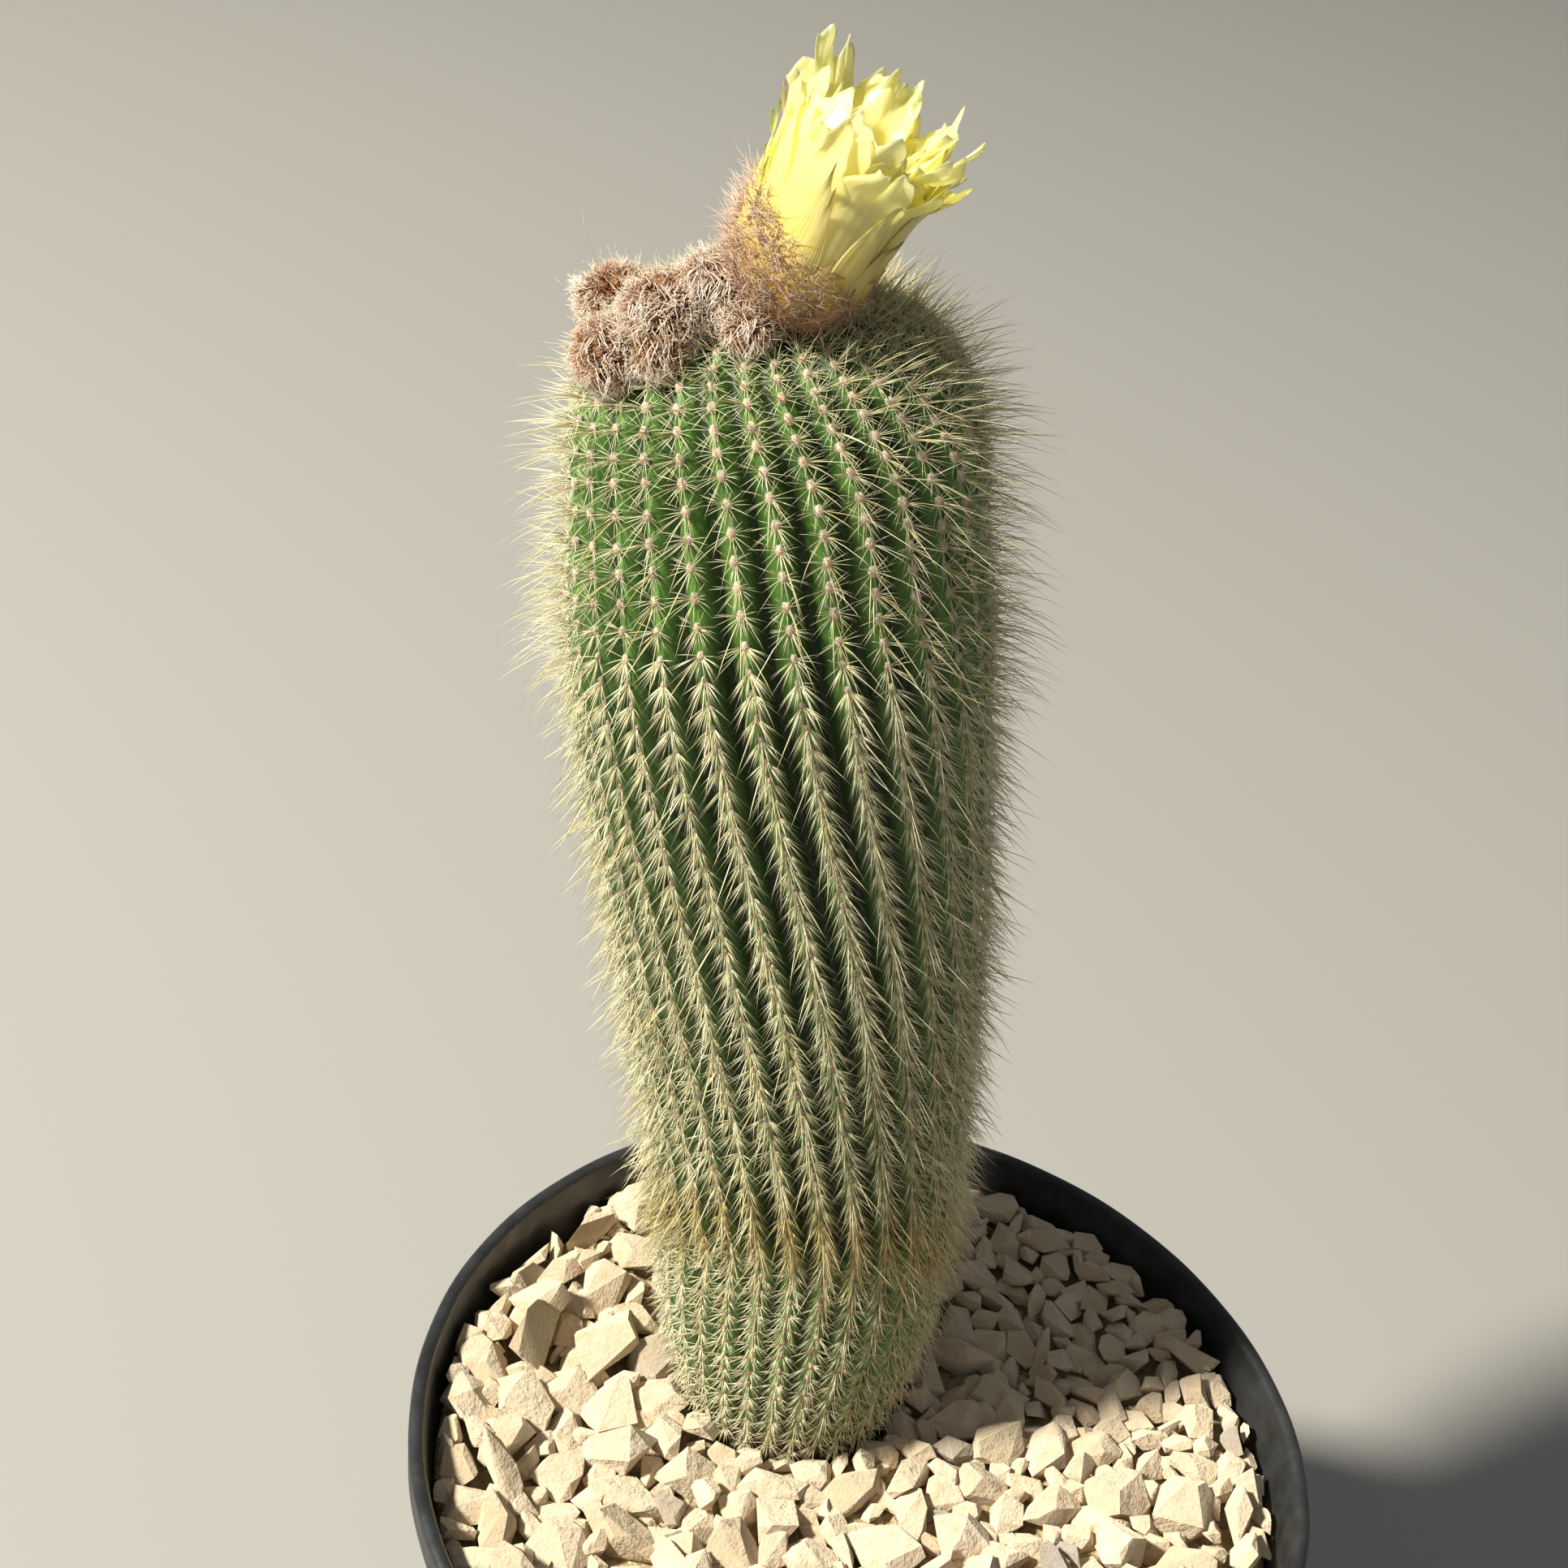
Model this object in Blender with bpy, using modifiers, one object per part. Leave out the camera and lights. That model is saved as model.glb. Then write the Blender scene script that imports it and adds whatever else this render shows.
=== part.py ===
"""Potted lemon ball cactus: a ribbed, golden-spined column in bloom, in a round pot with a gravel top.

Metres, +Z up. The origin is the centre of the pot's underside. -Y is the front.
"""

import math

import bmesh
import bpy
import numpy as np
from mathutils import Matrix, Quaternion, Vector

# Pot: the rim's outer radius sets the scale of everything else.
RIM_RADIUS = 0.105
POT_HEIGHT = 0.185
POT_BASE_RADIUS = 0.079
POT_WALL = 0.0018
LIP_WIDTH = 0.0036
RIM_BAND = 0.010
STEP_DROP = 0.034
STEP_IN = 0.0012
FLOOR_THICKNESS = 0.0025
POT_SOFT = 0.0015
POT_SIDES = 48
DRAIN_HOLES = 6
DRAIN_RADIUS = 0.006
DRAIN_CIRCLE = 0.052
DRAIN_SIDES = 12
DRAIN_TURN = 0.04

# Filling
GAP = 0.0003
GRAVEL_TOP = POT_HEIGHT - 0.011
GRAVEL_BED_TOP = GRAVEL_TOP - 0.0065
SOIL_TOP = GRAVEL_TOP - 0.014
STONES = 125
STONE_POINTS = 8
STONE_SIZES = (0.0112, 0.0066)
STONE_SPACING = 0.76
STONE_SHAPE = (1.0, 0.80, 0.66)
STONE_PROUD = 0.22
STONE_TILT = 0.3
STONE_TO_STEM = 0.55
WALL_REACH = 1.5
THROWS = 600
STONE_SEED = 11

# Stem: heights are above the gravel. The axis leans to -X and a little back.
RIBS = 30
STEM_TOP = 0.2710
SHOULDER = 0.228
DOME_POWER = 2.6
STEM_ROWS = 21
POLE_PROUD = 0.001
PLAIN_COLUMNS = 24
HOLE_CLEARANCE = 0.0009
CROWN_CLEARANCE = 0.0006
RIB_DEPTH = 0.095
AXIS_X = ((-0.04, -0.0185), (0.0, -0.0200), (0.070, -0.0255), (0.140, -0.0365),
          (0.190, -0.0460), (0.230, -0.0520), (0.275, -0.0550))
AXIS_Y = (0.023, 0.03)
RADII = ((-0.036, 0.0020), (-0.031, 0.0130), (-0.015, 0.0235), (0.0, 0.0268), (0.014, 0.0300),
         (0.030, 0.0325), (0.060, 0.0346), (0.090, 0.0364), (0.120, 0.0388), (0.150, 0.0405),
         (0.180, 0.0418), (0.205, 0.0423), (0.228, 0.0404))
RING_HEIGHT = 0.062
TWIST_ABOVE = math.radians(-178)
TWIST_BELOW = math.radians(120)
SWIRL_START = 0.235
SWIRL = math.radians(-14000)

# Spines: three-sided needles on every rib, fewer than on the plant and at true length.
NEEDLE_PITCH = 0.0175
NEEDLE_LENGTHS = ((0.0, 0.0080), (0.05, 0.0110), (0.12, 0.0140), (0.24, 0.0145), (0.28, 0.0100))
NEEDLE_DROOPS = ((0.0, 0.35), (0.05, 0.65), (0.18, 0.70), (0.23, 0.10), (0.28, -0.30))
NEEDLE_SPREAD = 0.75
NEEDLE_SHAKE = 0.3
NEEDLE_RADIUS = 0.0006
NEEDLE_ROOT = 0.0026
NEEDLE_SUNK = 0.0010
NEEDLE_FIRST = 0.012
NEEDLE_LAST = 0.010
NEEDLE_CLEAR = 0.009
OUTLINE_STEPS = 1200
SPINE_SEED = 5

# Woolly buds on the crown: azimuth in degrees round the axis, distance from the axis, radius.
BUDS = ((-134, 0.0250, 0.0090), (-143, 0.0325, 0.0076), (-125, 0.0310, 0.0062),
        (-170, 0.0295, 0.0078), (-125, 0.0175, 0.0086))
BUD_PROUD = 0.45
BUD_ROUGHNESS = 0.12
BUD_TUFTS = 26
TUFT_LENGTH = 0.0026
TUFT_RADIUS = 0.0008
BUD_SEED = 8

# Flower: a woolly tube from the crown, with tepals half closed round it in layers.
# A layer has a count, its radius at the roots and at the tips, how far along the tips are, and a half width.
FLOWER_AZIMUTH = -95
FLOWER_FROM_AXIS = 0.016
FLOWER_AXIS = (0.36, 0.12, 0.92)
TUBE_PROFILE = ((0.0046, -0.004), (0.0062, 0.001), (0.0108, 0.006), (0.0132, 0.012), (0.0136, 0.017))
CORE_PROFILE = ((0.0126, 0.0173), (0.0128, 0.0210), (0.0080, 0.0270), (0.0048, 0.0360))
TUBE_SIDES = 20
TUBE_TUFTS = 30
TUFTS_FROM = 0.003
TUFTS_TO = 0.015
TUFT_CLEAR = 0.005
TUFT_RISE = 0.7
TEPAL_LAYERS = ((10, 0.0118, 0.0172, 0.0430, 0.0042), (10, 0.0094, 0.0140, 0.0490, 0.0038),
                (4, 0.0060, 0.0088, 0.0470, 0.0044))
TEPAL_STATIONS = ((0.0, 0.62), (0.36, 1.0), (0.72, 0.86), (1.0, 0.14))
TEPAL_THICKNESS = 0.0007
TEPAL_WAVE = 0.0007
TEPAL_SEAT = 0.0012
TEPAL_RAGGED = 0.0025
TEPAL_BULGE = 0.0012
TEPAL_SHAKE = 0.04
TEPAL_SEED = 3

COLOURS = {
    "pot": ((0.020, 0.023, 0.029), 0.42),
    "soil": ((0.050, 0.034, 0.022), 0.95),
    "gravel": ((0.760, 0.640, 0.440), 0.90),
    "cactus_stem": ((0.120, 0.250, 0.060), 0.55),
    "woolly_buds": ((0.600, 0.420, 0.320), 0.95),
    "flower_tube": ((0.520, 0.360, 0.180), 0.90),
    "flower_tepals": ((0.880, 0.820, 0.250), 0.40),
}


def clear_scene():
    for obj in list(bpy.data.objects):
        bpy.data.objects.remove(obj, do_unlink=True)


def new_collection(name, hidden=False):
    collection = bpy.data.collections.new(name)
    bpy.context.scene.collection.children.link(collection)
    collection.hide_render = hidden
    return collection


def material(name):
    colour, roughness = COLOURS[name]
    made = bpy.data.materials.new(name)
    made.use_nodes = True
    shader = made.node_tree.nodes["Principled BSDF"]
    shader.inputs["Base Color"].default_value = (*colour, 1.0)
    shader.inputs["Roughness"].default_value = roughness
    shader.inputs["Metallic"].default_value = 0.0
    return made


def new_object(name, points, faces, collection, finish=None):
    mesh = bpy.data.meshes.new(name)
    mesh.from_pydata([tuple(p) for p in points], [], [tuple(f) for f in faces])
    mesh.update()
    obj = bpy.data.objects.new(name, mesh)
    collection.objects.link(obj)
    if finish:
        mesh.materials.append(finish)
    return obj


def smooth(knots, t):
    """A cubic Hermite curve through (position, value) knots, its slopes taken from the neighbouring knots."""
    x, y = np.array(knots, float).T
    slope = np.gradient(y, x)
    t = np.clip(t, x[0], x[-1])
    i = np.clip(np.searchsorted(x, t, side="right") - 1, 0, len(x) - 2)
    span = x[i + 1] - x[i]
    u = (t - x[i]) / span
    rise = 3 * u**2 - 2 * u**3
    ends = (1 - rise) * y[i] + rise * y[i + 1]
    return ends + span * (u * (1 - u) ** 2 * slope[i] - u**2 * (1 - u) * slope[i + 1])


def unit(vectors):
    vectors = np.asarray(vectors, float)
    return vectors / np.linalg.norm(vectors, axis=-1, keepdims=True)


def turned(name, profile, collection, finish=None, sides=POT_SIDES):
    """A closed body: a profile of (radius, height) from the axis and back to it, turned by a Screw."""
    points = [(radius, 0.0, height) for radius, height in profile]
    obj = new_object(name, points, [], collection, finish)
    obj.data.edges.add(len(points) - 1)
    for i, edge in enumerate(obj.data.edges):
        edge.vertices = (i, i + 1)
    screw = obj.modifiers.new("turn", "SCREW")
    screw.steps = screw.render_steps = sides
    screw.use_merge_vertices = True
    screw.merge_threshold = 0.00005
    return obj


def baked(obj):
    """Replaces the object's mesh by the evaluated one, so that its modifiers are applied."""
    graph = bpy.context.evaluated_depsgraph_get()
    mesh = bpy.data.meshes.new_from_object(obj.evaluated_get(graph))
    obj.modifiers.clear()
    obj.data = mesh
    return obj


def fuse(obj, pieces, solver="EXACT"):
    """One Boolean union of the object with every piece in the collection, which is then removed."""
    union = obj.modifiers.new("fuse", "BOOLEAN")
    union.operation = "UNION"
    union.solver = solver
    union.operand_type = "COLLECTION"
    union.collection = pieces
    baked(obj)
    for piece in list(pieces.objects):
        bpy.data.objects.remove(piece, do_unlink=True)
    bpy.data.collections.remove(pieces)
    return obj


def cut(obj, cutter):
    """Cuts the object with a cutter, which stays in its own collection, hidden."""
    cutter.hide_render = True
    cutter.display_type = "WIRE"
    boolean = obj.modifiers.new("cut " + cutter.name, "BOOLEAN")
    boolean.operation = "DIFFERENCE"
    boolean.object = cutter
    return obj


# The stem's form


def stem_radius(height):
    """The crest radius: knots up to the shoulder, then a flattened dome that closes at the apex."""
    rise = np.clip((height - SHOULDER) / (STEM_TOP - SHOULDER), 0, 1)
    dome = (1 - rise**DOME_POWER) ** (1 / DOME_POWER)
    return smooth(RADII, np.minimum(height, SHOULDER)) * dome


def stem_heights(rows, start=RADII[0][0]):
    """Heights from start to the apex that are evenly spaced along the outline."""
    rise = np.sin(np.linspace(0, math.pi / 2, 400)[1:])
    height = np.concatenate([np.linspace(start, SHOULDER, 600), SHOULDER + (STEM_TOP - SHOULDER) * rise])
    radius = stem_radius(height)
    run = np.concatenate([[0.0], np.cumsum(np.hypot(np.diff(height), np.diff(radius)))])
    return np.interp(np.linspace(0, run[-1], rows), run, height)


def stem_frame(height):
    """The axis point at a height, and the section's two directions and its normal there."""
    height = np.asarray(height, float)
    step = 0.002

    def axis(h):
        return np.stack([smooth(AXIS_X, h), AXIS_Y[0] + AXIS_Y[1] * h, GRAVEL_TOP + h], -1)

    along = unit(axis(height + step) - axis(height - step))
    across = unit(np.cross(np.array([0.0, 1.0, 0.0]), along))
    return axis(height), across, np.cross(along, across), along


def stem_point(height, azimuth, radius):
    centre, across, behind, _ = stem_frame(height)
    turn = np.asarray(azimuth)[..., None]
    return centre + np.asarray(radius)[..., None] * (np.cos(turn) * across + np.sin(turn) * behind)


def stem_normal(height, azimuth):
    """The outward normal of the smooth stem, from the slope of its outline."""
    step = 0.0004
    slope = (stem_radius(height + step) - stem_radius(height - step)) / (2 * step)
    _, across, behind, along = stem_frame(height)
    turn = np.asarray(azimuth)[..., None]
    radial = np.cos(turn) * across + np.sin(turn) * behind
    return unit(radial - np.asarray(slope)[..., None] * along)


def rib_twist(height):
    """How far the ribs have turned round the axis: a slow spiral that reverses at the growth ring."""
    above = np.maximum(height - RING_HEIGHT, 0)
    below = np.minimum(height - RING_HEIGHT, 0)
    swirl = np.maximum(height - SWIRL_START, 0)
    return TWIST_ABOVE * above + TWIST_BELOW * below + SWIRL * swirl**2


def rib_depth(height, radius):
    """Grooves start just under the gravel and are as deep as a fixed share of the radius."""
    return RIB_DEPTH * radius * np.clip((height + 0.008) / 0.016, 0, 1)


def ring_faces(rows, columns):
    """Quads between rows of points that close round, and a fan at each end on the poles."""
    faces = []
    for row in range(rows - 1):
        for column in range(columns):
            following = (column + 1) % columns
            faces.append((row * columns + column, row * columns + following,
                          (row + 1) * columns + following, (row + 1) * columns + column))
    bottom, top = rows * columns, rows * columns + 1
    for column in range(columns):
        following = (column + 1) % columns
        faces.append((bottom, following, column))
        faces.append((top, (rows - 1) * columns + column, (rows - 1) * columns + following))
    return faces


def column_loft(name, rows, columns, grow, groove, collection, finish=None):
    """A loft through sections across the leaning axis, with every second point in a groove if it has any."""
    heights = stem_heights(rows + 2)[1:-1]
    column = np.arange(columns)
    radius = stem_radius(heights)[:, None] + grow
    if groove:
        radius = radius - (column % 2) * rib_depth(heights, stem_radius(heights))[:, None]
    azimuth = column * 2 * math.pi / columns + rib_twist(heights)[:, None]
    height = heights[:, None] + 0 * azimuth
    points = stem_point(height, azimuth, radius + 0 * azimuth).reshape(-1, 3)
    poles = np.array([RADII[0][0] - POLE_PROUD - grow, STEM_TOP + grow])
    ends = stem_point(poles, np.zeros(2), np.zeros(2))
    return new_object(name, np.concatenate([points, ends]), ring_faces(rows, columns), collection, finish)


# Small repeats


def needle(root, direction, length, radius, turn):
    """A three-sided needle: a base triangle sunk below the root, and a point."""
    direction = unit(direction)
    side = unit(np.cross(direction, [0.37, 0.51, 0.78]))
    other = np.cross(direction, side)
    angles = turn + np.arange(3) * 2 * math.pi / 3
    base = root - direction * NEEDLE_ROOT
    ring = base + radius * (np.cos(angles)[:, None] * side + np.sin(angles)[:, None] * other)
    points = np.concatenate([ring, [root + direction * length]])
    return points, [(0, 2, 1), (0, 1, 3), (1, 2, 3), (2, 0, 3)]


def gather(shapes):
    """Points and faces of several shapes as one list each."""
    points, faces = [], []
    for shape_points, shape_faces in shapes:
        first = sum(len(p) for p in points)
        points.append(np.asarray(shape_points))
        faces += [tuple(first + i for i in face) for face in shape_faces]
    return np.concatenate(points), faces


def needle_direction(height, azimuth, draw):
    """Spines splay like stars near the crown, and sweep down and outward below it."""
    _, across, behind, along = stem_frame(height)
    out = stem_normal(height, azimuth)
    sideways = unit(np.cross(along, out))
    upright = np.cross(out, sideways)
    spread = draw.uniform(-NEEDLE_SPREAD, NEEDLE_SPREAD)
    droop = smooth(NEEDLE_DROOPS, height) + draw.uniform(-NEEDLE_SHAKE, NEEDLE_SHAKE)
    return out + spread * sideways - droop * upright


def spine_rows(collection):
    """One object for each rib, with its needles, staggered so that the spines are even all round."""
    draw = np.random.default_rng(SPINE_SEED)
    levels = stem_heights(OUTLINE_STEPS, start=NEEDLE_FIRST)
    strides = np.hypot(np.diff(levels), np.diff(stem_radius(levels)))
    length = np.concatenate([[0.0], np.cumsum(strides)])
    for rib in range(RIBS):
        shapes = []
        at = (rib * 2 % 3) / 3 * NEEDLE_PITCH
        while at < length[-1] - NEEDLE_LAST:
            height = float(np.interp(at, length, levels))
            azimuth = rib * 2 * math.pi / RIBS + float(rib_twist(height))
            at += NEEDLE_PITCH
            if height > SHOULDER and crown_is_covered(height, azimuth):
                continue
            areole = stem_point(height, azimuth, stem_radius(height))
            root = areole - NEEDLE_SUNK * stem_normal(height, azimuth)
            direction = needle_direction(height, azimuth, draw)
            reach = (NEEDLE_SUNK + smooth(NEEDLE_LENGTHS, height)) * draw.uniform(0.8, 1.2)
            shapes.append(needle(root, direction, reach, NEEDLE_RADIUS, draw.uniform(0, 2)))
        new_object(f"spines_{rib}", *gather(shapes), collection)


def crown_is_covered(height, azimuth):
    """True under the buds and the flower, where no needle is set."""
    here = stem_point(height, azimuth, stem_radius(height))
    covers = [(bud_centre(bud), bud[2] + NEEDLE_CLEAR) for bud in BUDS]
    covers.append((np.array(flower_matrix().translation), TUBE_PROFILE[-1][0] + NEEDLE_CLEAR))
    return any(np.linalg.norm(here - centre) < reach for centre, reach in covers)


# The crown's buds and flower


def crown_height(from_axis):
    """The height on the dome at a distance from the axis."""
    share = min(from_axis / float(stem_radius(SHOULDER)), 1.0)
    return SHOULDER + (STEM_TOP - SHOULDER) * (1 - share**DOME_POWER) ** (1 / DOME_POWER)


def bud_centre(bud):
    azimuth, from_axis, radius = bud
    height = crown_height(from_axis)
    azimuth = math.radians(azimuth)
    return stem_point(height, azimuth, from_axis) + BUD_PROUD * radius * stem_normal(height, azimuth)


def flower_matrix():
    """The flower's own frame: its axis along +Z, from its seat on the crown."""
    seat = stem_point(crown_height(FLOWER_FROM_AXIS), math.radians(FLOWER_AZIMUTH), FLOWER_FROM_AXIS)
    along = unit(FLOWER_AXIS)
    across = unit(np.cross([0.0, 1.0, 0.0], along))
    behind = np.cross(along, across)
    rows = np.stack([across, behind, along, seat], axis=1)
    return Matrix([*rows.tolist(), [0.0, 0.0, 0.0, 1.0]])


def even_directions(count):
    """Directions spread evenly over a sphere along a golden-angle spiral."""
    rank = np.arange(count) + 0.5
    up = 1 - 2 * rank / count
    turn = rank * math.pi * (3 - math.sqrt(5))
    return np.stack([np.cos(turn) * np.sqrt(1 - up**2), np.sin(turn) * np.sqrt(1 - up**2), up], axis=1)


def bumpy_ball(name, centre, radius, draw, collection, finish=None):
    """An icosphere whose points are moved in and out by seeded amounts."""
    mesh = bmesh.new()
    bmesh.ops.create_icosphere(mesh, subdivisions=2, radius=radius)
    for vert in mesh.verts:
        vert.co *= 1 + BUD_ROUGHNESS * draw.uniform(-1, 1)
        vert.co += Vector(centre)
    obj = bpy.data.objects.new(name, bpy.data.meshes.new(name))
    mesh.to_mesh(obj.data)
    mesh.free()
    collection.objects.link(obj)
    if finish:
        obj.data.materials.append(finish)
    return obj


def build_buds(parts, cutters):
    """Woolly buds that have grown together, rough with tufts, seated on the crown beside the flower."""
    draw = np.random.default_rng(BUD_SEED)
    pieces = new_collection("bud pieces")
    buds = None
    for number, bud in enumerate(BUDS):
        centre = bud_centre(bud)
        where, finish = (pieces, None) if buds else (parts, material("woolly_buds"))
        ball = bumpy_ball(f"bud_{number}", centre, bud[2], draw, where, finish)
        buds = buds or ball
        tufts = [needle(centre + bud[2] * out, out, TUFT_LENGTH * draw.uniform(0.7, 1.3), TUFT_RADIUS, 0.0)
                 for out in even_directions(BUD_TUFTS)]
        new_object(f"tufts_{number}", *gather(tufts), pieces)
    buds.name = buds.data.name = "woolly_buds"
    fuse(buds, pieces)
    cut(buds, bpy.data.objects["crown_clearance"])
    outline = [(radius + CROWN_CLEARANCE, height) for radius, height in TUBE_PROFILE]
    clearance = turned("tube_clearance", closed_on_axis(outline), cutters, sides=TUBE_SIDES)
    clearance.matrix_world = flower_matrix()
    cut(buds, clearance)


def closed_on_axis(outline):
    """A turned solid's profile, down its outer side: axis, outline from the top, axis."""
    downward = list(reversed(outline))
    return [(0.0, downward[0][1]), *downward, (0.0, downward[-1][1])]


def build_tube(parts):
    """The flower's woolly tube, a deep bowl that stands on the crown."""
    place = flower_matrix()
    tube = turned("flower_tube", closed_on_axis(TUBE_PROFILE), parts, material("flower_tube"), TUBE_SIDES)
    tube.matrix_world = place
    baked(tube)
    pieces = new_collection("tube pieces")
    tufts = []
    for rank in range(TUBE_TUFTS):
        height = TUFTS_FROM + (TUFTS_TO - TUFTS_FROM) * (rank + 0.5) / TUBE_TUFTS
        turn = rank * math.pi * (3 - math.sqrt(5))
        radius = float(smooth([(h, r) for r, h in TUBE_PROFILE], height))
        root = np.array([radius * math.cos(turn), radius * math.sin(turn), height])
        world = place @ Vector(root)
        if min(np.linalg.norm(np.array(world) - bud_centre(bud)) - bud[2] for bud in BUDS) < TUFT_CLEAR:
            continue
        out = np.array([math.cos(turn), math.sin(turn), TUFT_RISE])
        tufts.append(needle(root, out, TUFT_LENGTH, TUFT_RADIUS, 0.0))
    piece = new_object("tube_tufts", *gather(tufts), pieces)
    piece.matrix_world = place
    fuse(tube, pieces)
    cut(tube, bpy.data.objects["crown_clearance"])


def tepal(turn, root_radius, tip_radius, tip_height, half_width, draw):
    """A blade wrapped round the flower's axis, its outer and inner faces split into like triangles."""
    root_height = CORE_PROFILE[0][1] + TEPAL_SEAT
    tip_height = tip_height + draw.uniform(-TEPAL_RAGGED, TEPAL_RAGGED)
    across = np.array([-1.0, 0.0, 1.0])
    outer, inner = [], []
    for share, width in TEPAL_STATIONS:
        radius = root_radius + (tip_radius - root_radius) * share + TEPAL_BULGE * math.sin(math.pi * share)
        height = root_height + (tip_height - root_height) * share
        reach = radius + TEPAL_WAVE * abs(across) * draw.uniform(-1, 1, 3) * math.sin(math.pi * share)
        angle = turn + across * half_width * width / radius
        for points, depth in ((outer, 0.0), (inner, TEPAL_THICKNESS)):
            x, y = (reach - depth) * np.cos(angle), (reach - depth) * np.sin(angle)
            points.append(np.stack([x, y, np.full(3, height)], axis=1))
    rows, wide = len(TEPAL_STATIONS), len(across)
    points = np.concatenate(outer + inner)
    faces = []
    for row in range(rows - 1):
        for column in range(wide - 1):
            a = row * wide + column
            b, c, d = a + 1, a + wide + 1, a + wide
            faces += [(a, b, c), (a, c, d)]
            faces += [tuple(rows * wide + i for i in reversed(face)) for face in ((a, b, c), (a, c, d))]
    rim = [*range(wide), *range(2 * wide - 1, rows * wide, wide)]
    rim += [*range(rows * wide - 2, (rows - 1) * wide - 1, -1), *range((rows - 2) * wide, 0, -wide)]
    for here, there in zip(rim, rim[1:] + rim[:1]):
        faces += [(there, here, rows * wide + here), (there, rows * wide + here, rows * wide + there)]
    return points, faces


def build_tepals(parts):
    """The flower's tepals in layers, their roots sunk in a core that stands on the tube."""
    draw = np.random.default_rng(TEPAL_SEED)
    place = flower_matrix()
    core = turned("flower_tepals", closed_on_axis(CORE_PROFILE), parts, material("flower_tepals"), TUBE_SIDES)
    core.matrix_world = place
    baked(core)
    pieces = new_collection("tepal pieces")
    for layer, (count, root_radius, tip_radius, tip_height, half_width) in enumerate(TEPAL_LAYERS):
        for number in range(count):
            turn = (number + 0.5 * (layer % 2)) * 2 * math.pi / count
            turn += draw.uniform(-TEPAL_SHAKE, TEPAL_SHAKE)
            shape = tepal(turn, root_radius, tip_radius, tip_height, half_width, draw)
            piece = new_object(f"tepal_{layer}_{number}", *shape, pieces)
            piece.matrix_world = place
    fuse(core, pieces)


# The stem with its spines


def build_stem(parts, cutters):
    stem = column_loft("cactus_stem", STEM_ROWS, 2 * RIBS, 0.0, True, parts, material("cactus_stem"))
    pieces = new_collection("spine pieces")
    spine_rows(pieces)
    fuse(stem, pieces)
    column_loft("crown_clearance", STEM_ROWS, 2 * RIBS, CROWN_CLEARANCE, False, cutters)
    column_loft("stem_hole", STEM_ROWS, PLAIN_COLUMNS, HOLE_CLEARANCE, False, cutters)


# The pot and what fills it


def pot_radius(height):
    """The wall's outer radius: a plain taper, set in below the stacking step."""
    taper = POT_BASE_RADIUS + (RIM_RADIUS - POT_WALL - POT_BASE_RADIUS) * height / POT_HEIGHT
    return taper - (STEP_IN if height < POT_HEIGHT - STEP_DROP else 0.0)


def build_pot(parts, cutters):
    """A thin wall turned round, with a rounded lip, a rim band, a stacking step and a drained floor."""
    top, edge = POT_HEIGHT, LIP_WIDTH / 5
    lip = RIM_RADIUS - LIP_WIDTH
    band = top - RIM_BAND
    step = POT_HEIGHT - STEP_DROP
    under = step - POT_SOFT
    inner_floor = pot_radius(FLOOR_THICKNESS) - POT_WALL
    inside = [(0.0, FLOOR_THICKNESS), (inner_floor, FLOOR_THICKNESS), (pot_radius(under) - POT_WALL, under),
              (pot_radius(step) - POT_WALL, step), (lip, top - POT_SOFT), (lip + edge, top - edge / 2)]
    outside = [(RIM_RADIUS - LIP_WIDTH / 2, top), (RIM_RADIUS - edge, top - edge / 2),
               (RIM_RADIUS, top - POT_SOFT), (RIM_RADIUS - edge / 2, band),
               (pot_radius(band), band - POT_SOFT / 2), (pot_radius(step), step), (pot_radius(under), under),
               (POT_BASE_RADIUS - STEP_IN, POT_SOFT), (POT_BASE_RADIUS - STEP_IN - POT_SOFT, 0.0), (0.0, 0.0)]
    pot = turned("pot", inside + outside, parts, material("pot"))
    reach = 2 * FLOOR_THICKNESS
    drill_outline = [(DRAIN_RADIUS, -reach), (DRAIN_RADIUS, reach)]
    for hole in range(DRAIN_HOLES):
        turn = (hole + DRAIN_TURN) * 2 * math.pi / DRAIN_HOLES
        drill = turned(f"drain_{hole}", closed_on_axis(drill_outline), cutters, sides=DRAIN_SIDES)
        drill.location = (DRAIN_CIRCLE * math.cos(turn), DRAIN_CIRCLE * math.sin(turn), 0.0)
        cut(pot, drill)


def build_soil(parts):
    """Compost up to the gravel, with a plain hole for the stem's butt."""
    step = POT_HEIGHT - STEP_DROP
    under = step - POT_SOFT
    bottom = FLOOR_THICKNESS + GAP
    wall = POT_WALL + GAP
    profile = [(0.0, SOIL_TOP), (pot_radius(SOIL_TOP) - wall, SOIL_TOP),
               (pot_radius(step) - wall, step + GAP), (pot_radius(under) - wall, under),
               (pot_radius(bottom) - wall, bottom), (0.0, bottom)]
    soil = turned("soil", profile, parts, material("soil"))
    cut(soil, bpy.data.objects["stem_hole"])


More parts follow.
